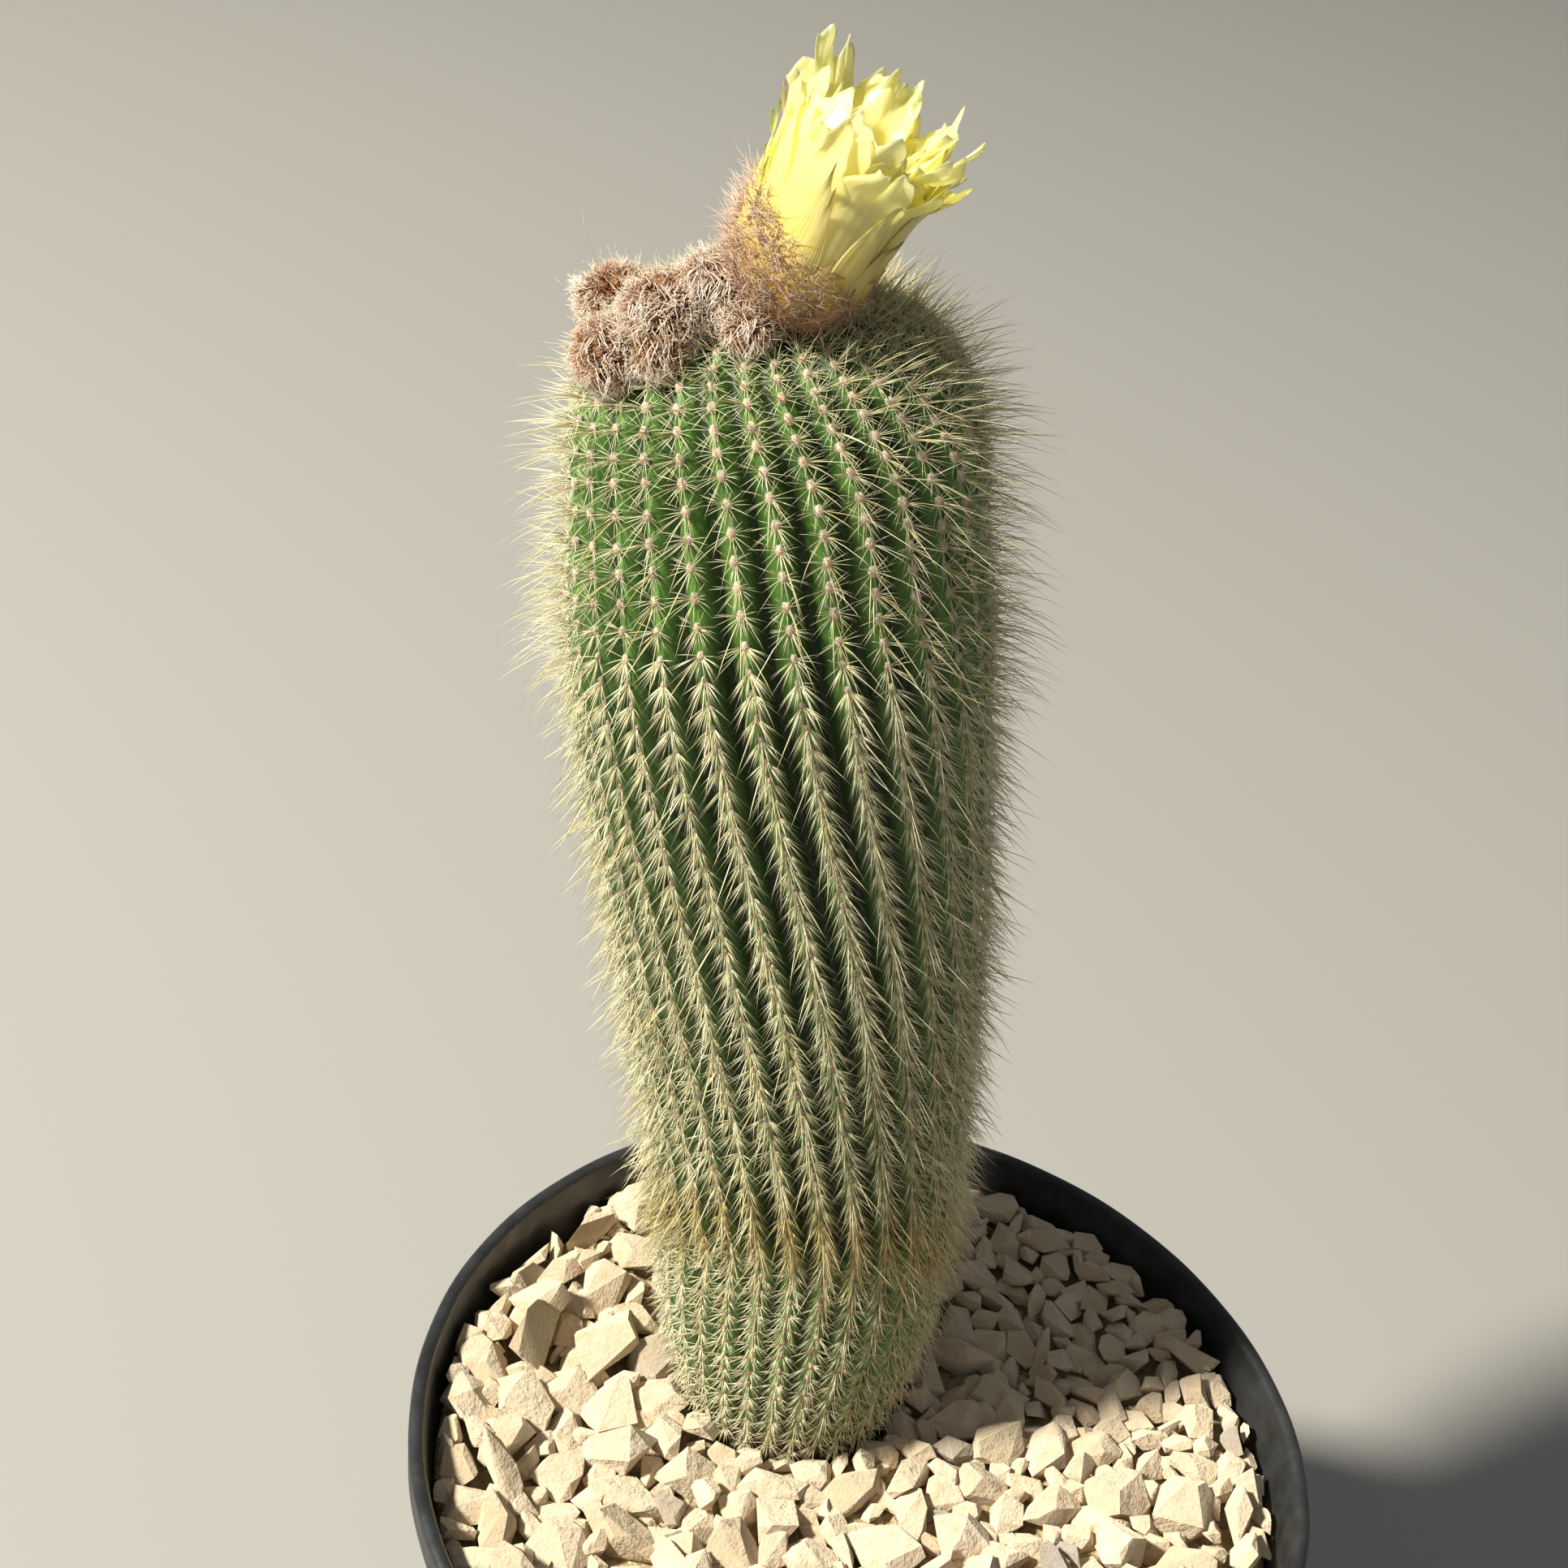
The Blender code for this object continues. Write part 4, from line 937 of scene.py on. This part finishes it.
# %% The form of a tepal
TEPAL_LAYERS = (
    # count, start height, tip height, spread of tips, inset, half width, waves, bluntness, coloured point
    (9, 0.0060, 0.0175, 0.0020, -0.0001, 0.0030, 0.0, 0.0, 1.0),
    (6, 0.0100, 0.0300, 0.0030, -0.0002, 0.0026, 0.1, 0.0, 1.0),
    (7, 0.0100, 0.0350, 0.0030, 0.0000, 0.0034, 0.3, 0.0, 0.8),
    (8, 0.0100, 0.0390, 0.0035, 0.0003, 0.0076, 1.0, 0.6, 0.10),
    (8, 0.0120, 0.0405, 0.0035, 0.0012, 0.0078, 1.3, 1.0, 0.0),
    (7, 0.0140, 0.0425, 0.0040, 0.0030, 0.0072, 1.5, 1.0, 0.0),
    (4, 0.0150, 0.0420, 0.0040, 0.0066, 0.0060, 1.5, 0.9, 0.0),
)
LONE_TEPALS = (
    # turn in degrees, start height, tip height, inset, half width, waves, bluntness, flick outwards, sway
    (140, 0.0180, 0.0485, 0.0022, 0.0046, 0.7, 0.40, 0.0016, 0.30),
    (86, 0.0180, 0.0470, 0.0050, 0.0060, 1.2, 0.7, 0.0000, -0.05),
    (32, 0.0160, 0.0465, 0.0022, 0.0074, 1.4, 1.0, 0.0004, 0.00),
    (3, 0.0220, 0.0460, 0.0010, 0.0022, 0.4, 0.1, 0.0024, 0.05),
    (-14, 0.0200, 0.0410, 0.0002, 0.0022, 0.3, 0.0, 0.0026, -0.06),
    (-26, 0.0180, 0.0360, -0.0002, 0.0024, 0.2, 0.0, 0.0016, 0.04),
    (188, 0.0150, 0.0360, -0.0002, 0.0028, 0.2, 0.0, 0.0010, 0.03),
    (205, 0.0120, 0.0290, -0.0004, 0.0022, 0.1, 0.0, 0.0014, 0.00),
)
TEPAL_ROWS, TEPAL_WIDE, TEPAL_THICK, LIGHT_THROUGH, SUN_PASSED = 23, 15, 0.00012, 0.54, 0.52
T, U = np.linspace(0, 1, TEPAL_ROWS), np.linspace(-1, 1, TEPAL_WIDE)


def tepal_points(turn, start, reach, inset, half_width, waves, blunt, flick, sway, draw):
    """Radius = body line - inset + overlap + folds + flick; angle = u times half width / radius + sway t^2.

    Low down the edges sink, 0.35 mm u^2, so that neighbours merge. Higher up one edge lies over the next tepal.
    """
    t, u = T[:, None], U[None]
    phase = draw.uniform(0, math.tau, 9)
    narrowing = 1 - (0.96 - 0.70 * blunt) * ease(t, 0.28 + 0.42 * blunt, 1.0)
    torn, curled = 0.12 * waves * ease(t, 0.5, 0.85), ease(t, 0.70, 1.0)
    left = 1 + torn * (np.sin(17 * t + phase[0]) + 0.6 * np.sin(31 * t + phase[1]))
    right = 1 + torn * (np.sin(15 * t + phase[2]) + 0.6 * np.sin(29 * t + phase[3]))
    width = half_width * (0.85 + 0.15 * np.sin(math.pi * np.minimum(t, 0.5))) * narrowing * np.where(u < 0, left, right)
    ragged = 0.0011 * np.sin(4 * u + phase[4]) + 0.0006 * np.sin(9 * u + phase[5]) - 0.0013 * u**2
    up = start + (reach - start) * t + (0.15 + waves) * curled * ragged
    loose = ease(t, 0.45, 0.80)
    edge = np.sin(7 * t + phase[6] + 1.3 * u) * np.abs(u) ** 1.3 + 0.4 * np.sin(17 * t + phase[7] + 4 * u) * u**2
    fold = 0.0008 * waves * t**2 * (edge - bell(u, 0, 0.3))
    curl = 0.0010 * waves * curled * np.sin(3 * u + phase[8])
    overlap = 0.00014 * u * loose - 0.00035 * u**2 * (1 - loose)
    radius = smooth(FLOWER_BODY, up) - inset + overlap + fold + curl - 0.0005 * (1 - ease(t, 0.0, 0.12))
    radius = np.maximum(radius + flick * ease(t, 0.70, 1.05), 0.002)
    shape = polar(radius, u * width / radius + sway * t**2, up)
    return shape @ np.array([[math.cos(turn), math.sin(turn), 0], [-math.sin(turn), math.cos(turn), 0], [0, 0, 1]])

# %% Silk that passes light
petal = Finish("tepal_silk", Roughness=0.30, Specular_IOR_Level=0.7, Coat_Weight=0.3, Coat_Roughness=0.15)
lengthwise = petal.ramp("up", (0.0, "#BE9048"), (0.22, "#ECD064"), (0.38, "#FAEF96"), (0.62, "#FEF9B8"),
                        (1.0, "#FEFCD6"))
pointed = petal.times(petal.compute("POWER", "along", 3.5), "point")
tipped = petal.mix(pointed, lengthwise, petal.mix("brown", "#9CBB34", "#9A6232"))
silk = petal.mix(petal.times(petal.noise(MOTTLE, 300.0), 0.25), tipped, "#FFFDDC")
petal.colour(silk)
petal.bump(petal.compute("SINE", petal.times("vein", 26.0)), 0.00002)
glow = add_node(petal.tree, "ShaderNodeBsdfTranslucent")
petal.set(glow.inputs["Color"], silk)
clear = add_node(petal.tree, "ShaderNodeBsdfTransparent", {"Color": shade("#FFFBD8")})
shadow_ray = add_node(petal.tree, "ShaderNodeLightPath").outputs["Is Shadow Ray"]
both = petal.blend(LIGHT_THROUGH, petal.shader.outputs["BSDF"], glow.outputs["BSDF"])
sunlit = petal.blend(petal.times(shadow_ray, SUN_PASSED), both, clear.outputs["BSDF"])
petal.set(petal.tree.nodes["Material Output"].inputs["Surface"], sunlit)

# %% Tepals in layers
draw = np.random.default_rng(91)
shapes, points_coloured, browns = [], [], []
for layer, (count, start, reach, spread, inset, half_width, waves, blunt, point) in enumerate(TEPAL_LAYERS):
    for number in range(count):
        turn = (number + 0.5 * (layer % 2)) * math.tau / count + draw.normal(0, 0.05)
        flick = 0.0002 + 0.0010 * draw.normal() + (0.0040 if draw.uniform() < 0.40 else 0.0)
        shapes.append(tepal_points(
            turn, start + draw.normal(0, 0.0003), reach + draw.uniform(-1, 1) * spread, inset,
            half_width * draw.uniform(0.9, 1.1), waves, blunt * draw.uniform(0.65, 1.2),
            flick * ease(layer, 0, 2), 0.05 * draw.normal(), draw))
        points_coloured.append(point)
        browns.append(draw.uniform())
for turn, start, reach, *others in LONE_TEPALS:
    shapes.append(tepal_points(math.radians(turn), start, reach, *others, draw))
    points_coloured.append(0.6 if reach < 0.042 else 0.1)
    browns.append(draw.uniform(0, 0.6))
per, blades = TEPAL_ROWS * TEPAL_WIDE, len(shapes)
shapes = np.concatenate(shapes).reshape(-1, 3)
tepals = make_piece("tepals", in_flower(shapes), [copies(grid_faces(TEPAL_ROWS, TEPAL_WIDE), blades, per)], petal,
                    "flower_tepals",
                    up=np.clip(shapes[:, 2] / 0.048, 0, 1), along=np.tile(np.repeat(T, TEPAL_WIDE), blades),
                    vein=np.tile(U, TEPAL_ROWS * blades), point=np.repeat(points_coloured, per),
                    brown=np.repeat(browns, per))
thick = tepals.modifiers.new("thickness", "SOLIDIFY")
thick.thickness, thick.offset = TEPAL_THICK, 0.0

# %% [markdown]
# ## Gravel
# The top dressing is cream limestone: angular chips of 6 to 20 mm, tightly packed, dry and powdery. A broken
# stone has flat faces between sharp corners, so each chip is the convex hull of a few seeded corner points on a
# boxy ellipsoid, and a Bevel modifier wears its edges. Big chips are thrown first and small ones fill in.

# %% Where the stones lie
STEM_FOOT = stem_point(0.0, 0.0, 0.0)[:2]
WALL_AT_GRAVEL, TRIES, FLATTEST_EDGE = 0.0994, 400, 0.16


def scatter(sizes, spacing, seed, kept):
    """Dart throwing in the ring between stem and wall; returns rows of x, y and half length."""
    draw = np.random.default_rng(seed)
    new = []
    for size in sizes:
        reach = (WALL_AT_GRAVEL - 0.62 * size) * np.sqrt(draw.uniform(0, 1, TRIES))
        spots = polar(reach, draw.uniform(0, math.tau, TRIES), 0.0)[:, :2]
        clear = norm(spots - STEM_FOOT) > stem_radius(0.0) + 0.60 * size
        clear &= size < 0.0060 + 0.006 * (1 - ease(spots[:, 0], 0.0, 0.04) * ease(spots[:, 1], -0.01, 0.03))
        apart = norm(spots[:, None] - kept[None, :, :2]) - spacing * (kept[None, :, 2] + size)
        clear &= (apart > 0).all(axis=1)
        if clear.any():
            spot = (*spots[np.argmax(clear)], size)
            kept = np.vstack([kept, spot])
            new.append(spot)
    return np.array(new), kept

# %% Chips from hulls


def hull_faces(points):
    """The flat faces round a cloud of points, from Blender's convex hull, and the points that they use."""
    hull = bmesh.new()
    for point in points.tolist():
        hull.verts.new(point)
    bmesh.ops.convex_hull(hull, input=hull.verts)
    bmesh.ops.delete(hull, geom=[vert for vert in hull.verts if not vert.link_faces], context="VERTS")
    bmesh.ops.dissolve_limit(hull, angle_limit=FLATTEST_EDGE, verts=hull.verts, edges=hull.edges)
    bmesh.ops.recalc_face_normals(hull, faces=hull.faces)
    hull.verts.index_update()
    corners = np.array([vert.co for vert in hull.verts])
    faces = [[vert.index for vert in face.verts] for face in hull.faces]
    hull.free()
    return corners, faces


def chips(spots, rest, corner_count, seed):
    """Corner = direction / (sum of |direction|^4)^(1/4), squashed, turned, tilted and set on the bed."""
    draw = np.random.default_rng(seed)
    shapes, faces, tones, used = [], [], [], 0
    for x, y, size in spots:
        corner = unit(draw.normal(size=(corner_count, 3)))
        corner = corner / (np.abs(corner) ** 4).sum(axis=1, keepdims=True) ** 0.25
        corner = corner * draw.uniform(0.82, 1.0, (corner_count, 1))
        corner = corner * np.array([1.0, draw.uniform(0.62, 0.95), draw.uniform(0.5, 0.8)]) * 0.90 * size
        corner = corner + np.array([0.35, 0.2, 0.0]) * draw.normal() * corner[:, 1:2]
        tilt, turn = draw.normal(0, 0.36, 2), draw.uniform(0, math.tau)
        from_middle = math.hypot(x, y)
        if from_middle + size > 0.97 * WALL_AT_GRAVEL:
            turn = math.atan2(y, x) + math.pi / 2 + draw.normal(0, 0.15)
            tilt = tilt * 0.5
        spin = Matrix.Rotation(turn, 3, "Z") @ Matrix.Rotation(tilt[0], 3, "X") @ Matrix.Rotation(tilt[1], 3, "Y")
        corner = corner @ np.array(spin).T
        bank = 0.0045 * ease(from_middle, 0.066, 0.094)
        corner = corner + np.array([x, y, rest + bank + draw.uniform(-0.0012, 0.0014) - corner[:, 2].min()])
        corner[:, :2] *= np.minimum(1, WALL_AT_GRAVEL / norm(corner[:, :2])[:, None])
        corner, sides = hull_faces(corner)
        shapes.append(corner)
        faces += [[index + used for index in side] for side in sides]
        tones.append(np.full(len(corner), draw.uniform(0, 1)))
        used += len(corner)
    return np.concatenate(shapes), faces, np.concatenate(tones)


def wear(piece, width, segments):
    """A Bevel modifier on the piece's sharp edges, with flat faces kept flat."""
    edge = piece.modifiers.new("worn edges", "BEVEL")
    edge.width, edge.segments, edge.limit_method, edge.angle_limit = width, segments, "ANGLE", math.radians(18)
    edge.harden_normals, edge.use_clamp_overlap = True, True

# %% Limestone, big and small
limestone = Finish("limestone", Roughness=0.92, Diffuse_Roughness=1.0, Specular_IOR_Level=0.2)
cream = limestone.ramp("tone", (0.0, "#E6D5BA"), (0.35, "#EFDFC6"), (0.7, "#EBDABF"), (0.985, "#DCCAAC"),
                       (0.990, "#9B9794"), (1.0, "#B0ACA6"))
dusty = limestone.mix(limestone.noise(MOTTLE, 260.0, 5.0), cream, limestone.mix(0.25, cream, "#C9A66C"))
limestone.colour(limestone.mix(limestone.times(limestone.noise(GRAIN, 1500.0, 4.0), 0.25), dusty, "#F3E8D4"))
pits = limestone.times(limestone.noise(GRAIN, 320.0, 2.0), 2.0)
limestone.bump(limestone.compute("ADD", limestone.noise(GRAIN, 1400.0, 5.0), pits), 0.00032)

big, taken = scatter(np.linspace(0.0104, 0.0060, 170), 0.57, 101, np.zeros((0, 3)))
small, taken = scatter(np.linspace(0.0058, 0.0030, 800), 0.53, 103, taken)
for name, spots, rest, corner_count, seed, edge_width, segments in (
        ("big_chips", big, GRAVEL_BED_TOP - 0.0012, 15, 111, 0.00085, 2),
        ("small_chips", small, GRAVEL_BED_TOP + 0.0002, 13, 113, 0.00055, 1)):
    points, faces, tone = chips(spots, rest, corner_count, seed)
    wear(make_piece(name, points, [faces], limestone, "gravel", tone=tone), edge_width, segments)
print("stones:", len(big), "big and", len(small), "small")

# %% The bed under the stones
BED_ROWS, BED_COLUMNS, BED_FOOT, BED_WALL = 40, 160, 0.0272, 0.0984
circle = polar(1.0, ring_angles(BED_COLUMNS), 0.0)[:, :2]
foot_ring, wall_ring = STEM_FOOT + BED_FOOT * circle, BED_WALL * circle
plan = foot_ring[None] + np.linspace(0.0, 1.0, BED_ROWS)[:, None, None] * (wall_ring - foot_ring)[None]
top = np.concatenate([plan, np.full((BED_ROWS, BED_COLUMNS, 1), GRAVEL_BED_TOP)], axis=-1)
top[..., 2] += 0.0009 * ripple(top, 0.006, 7) + 0.0006 * ripple(top, 0.0025, 8)
low = np.full((BED_COLUMNS, 1), SOIL_TOP + 0.0003)
bed = np.concatenate([np.hstack([foot_ring, low])[None], top, np.hstack([wall_ring, low])[None]])
around = grid_faces(len(bed), BED_COLUMNS, closed=True)
ring, last = np.arange(BED_COLUMNS), (len(bed) - 1) * BED_COLUMNS
following = (ring + 1) % BED_COLUMNS
under = np.stack([last + ring, last + following, following, ring], axis=1)
grit = crumbly("gravel_bed", 0.95, "#B8A47C", "#E0CEA6", 350.0, 700.0, 0.0012)
make_piece("gravel_bed", bed, [around[:, ::-1], under[:, ::-1]], grit, "gravel")

# %% [markdown]
# ## Pot
# A nursery pot is thin black plastic, moulded with a rolled lip and a stacking step. It is turned from a profile,
# and its rim wanders by a fraction of a millimetre, as thin plastic does. Scuffs and dust break up the sheen.

# %% Pot's finish and profile
plastic = Finish("pot_plastic", Roughness=0.45, Specular_IOR_Level=0.45)
scuffs = plastic.noise(MOTTLE, 160.0, 8.0)
scuffed = plastic.mix(plastic.times(scuffs, 0.30), "#1B1E22", "#474C54")
plastic.colour(plastic.mix(plastic.times(plastic.noise(GRAIN, 22.0, 6.0), 0.12), scuffed, "#8A8478"))
plastic.set(plastic.shader.inputs["Roughness"], plastic.compute("ADD", plastic.times(scuffs, 0.18), 0.36))
plastic.bump(plastic.noise(GRAIN, 420.0, 4.0), 0.00012)


def pot_radius(height):
    """A plain taper, set in below the stacking step."""
    taper = POT_BASE_RADIUS + (RIM_RADIUS - POT_WALL - POT_BASE_RADIUS) * height / POT_HEIGHT
    return taper - STEP_IN * (height < POT_HEIGHT - STEP_DROP)


def pot_profile():
    """From the floor's centre up the inner wall, over the half-round lip, down the outer side to the axis."""
    step, band, lip_foot = POT_HEIGHT - STEP_DROP, POT_HEIGHT - RIM_BAND, POT_HEIGHT - 0.004
    under, foot = step - POT_SOFT, POT_BASE_RADIUS - STEP_IN
    middle, half, lip_rise = RIM_RADIUS - LIP_WIDTH / 2, LIP_WIDTH / 2, 0.0016
    inside = [(0.0, FLOOR_THICKNESS)] + [(share * 0.0765, FLOOR_THICKNESS) for share in (0.4, 0.8, 0.95, 1.0)]
    heights = [*np.linspace(0.0045, under, 10), *np.linspace(step, lip_foot, 7)]
    inside += [(pot_radius(h) - POT_WALL, h) for h in heights]
    lip = [(middle + half * math.cos(a), POT_HEIGHT - lip_rise + lip_rise * math.sin(a))
           for a in np.linspace(math.pi, 0, 13)]
    outside = [(RIM_RADIUS - 0.0002, h) for h in np.linspace(lip_foot, band + 0.0012, 5)]
    outside += [(RIM_RADIUS - 0.0005, band + 0.0004), (RIM_RADIUS - 0.0009, band)]
    heights = [*np.linspace(band - 0.0005, step, 8), *np.linspace(under, 0.0022, 14)]
    outside += [(pot_radius(h), h) for h in heights]
    outside += [(foot - 0.0002, 0.0010), (foot - 0.0008, 0.0003), (foot - 0.0016, 0.0)]
    return inside + lip + outside + [(share * foot, 0.0) for share in (0.8, 0.5, 0.0)]


def wander(height, angle):
    """A slow wave of the wall, stronger towards the rim."""
    high = ease(height, 0.12, POT_HEIGHT)
    return high * (0.00022 * np.sin(3 * angle + 1.0) + 0.00012 * np.sin(7 * angle) + 0.00006 * np.sin(23 * angle + 2))


points, faces = turned_surface(pot_profile(), 192, wander)
pot = make_piece("pot_body", points, [group[:, ::-1] for group in faces], plastic, "pot")

# %% Drain holes
for number in range(DRAIN_HOLES):
    turn = (number + DRAIN_TURN) * math.tau / DRAIN_HOLES
    points, faces = turned_surface([(0.0, -0.004), (DRAIN_RADIUS, -0.004), (DRAIN_RADIUS, 0.008), (0.0, 0.008)], 32)
    mesh = bpy.data.meshes.new("drill")
    mesh.from_pydata((points + polar(DRAIN_CIRCLE, turn, 0.0)).tolist(), [],
                     [corners for group in faces for corners in group.tolist()])
    drill = add_object("drill", mesh)
    cut = pot.modifiers.new("drain hole", "BOOLEAN")
    cut.operation, cut.object, cut.solver = "DIFFERENCE", drill, "EXACT"
    drilled = bpy.data.meshes.new_from_object(pot.evaluated_get(bpy.context.evaluated_depsgraph_get()))
    pot.modifiers.clear()
    pot.data = drilled
    bpy.data.objects.remove(drill)
print("pot polygons after drilling:", len(pot.data.polygons))

# %% [markdown]
# ## Compost
# Under the gravel lies compost, seen only through the drain holes. The CAD solid has the right shape, so it
# stays and gets a crumbly dark finish.

# %% Compost finish
compost = crumbly("compost", 0.97, "#1E1610", "#4A3826", 400.0, 600.0, 0.0015, detail=6.0)
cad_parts["soil"].material_slots[0].material = compost.material

# %% [markdown]
# ## Floor and light
# The pot stands on a plain pale floor. The photograph has sun from the upper left and clear shadows, so the key
# light is a disc of 0.42 m at 4 m. A wide weak fill from the other side and a pale surround lift the shadows.

# %% Floor and lights
FLOOR_HALF, LOOKED_AT = 6, np.array([0.0, 0.0, 0.25])
paper = Finish("floor_paper", Roughness=0.9, Specular_IOR_Level=0.1)
paper.colour("#B9B6AF")
floor_mesh = bpy.data.meshes.new("floor")
corners = [(x * FLOOR_HALF, y * FLOOR_HALF, 0) for x, y in ((-1, -1), (1, -1), (1, 1), (-1, 1))]
floor_mesh.from_pydata(corners, [], [(0, 1, 2, 3)])
floor_mesh.materials.append(paper.material)
floor = add_object("floor", floor_mesh)


def add_light(name, direction, distance, size, power, colour):
    """An area light that faces the plant's middle from a direction."""
    light = bpy.data.lights.new(name, "AREA")
    light.shape, light.size, light.energy, light.color = "DISK", size, power, colour
    towards = unit(np.array(direction, float))
    lamp = add_object(name, light)
    lamp.location = LOOKED_AT + distance * towards
    lamp.rotation_euler = Vector(towards).to_track_quat("Z", "Y").to_euler()


add_light("key", (-0.87, -0.50, 1.00), 4.0, 0.42, 278.0, (1.0, 0.975, 0.87))
add_light("fill", (0.9, -0.5, 0.7), 3.0, 2.5, 0.5, (0.92, 0.95, 1.0))
surround = bpy.data.worlds.new("surround")
surround.use_nodes = True
backdrop = surround.node_tree.nodes["Background"].inputs
backdrop["Color"].default_value, backdrop["Strength"].default_value = (0.90, 0.93, 1.0, 1.0), 0.17
bpy.context.scene.world = surround
bpy.context.scene.view_settings.view_transform = "Standard"
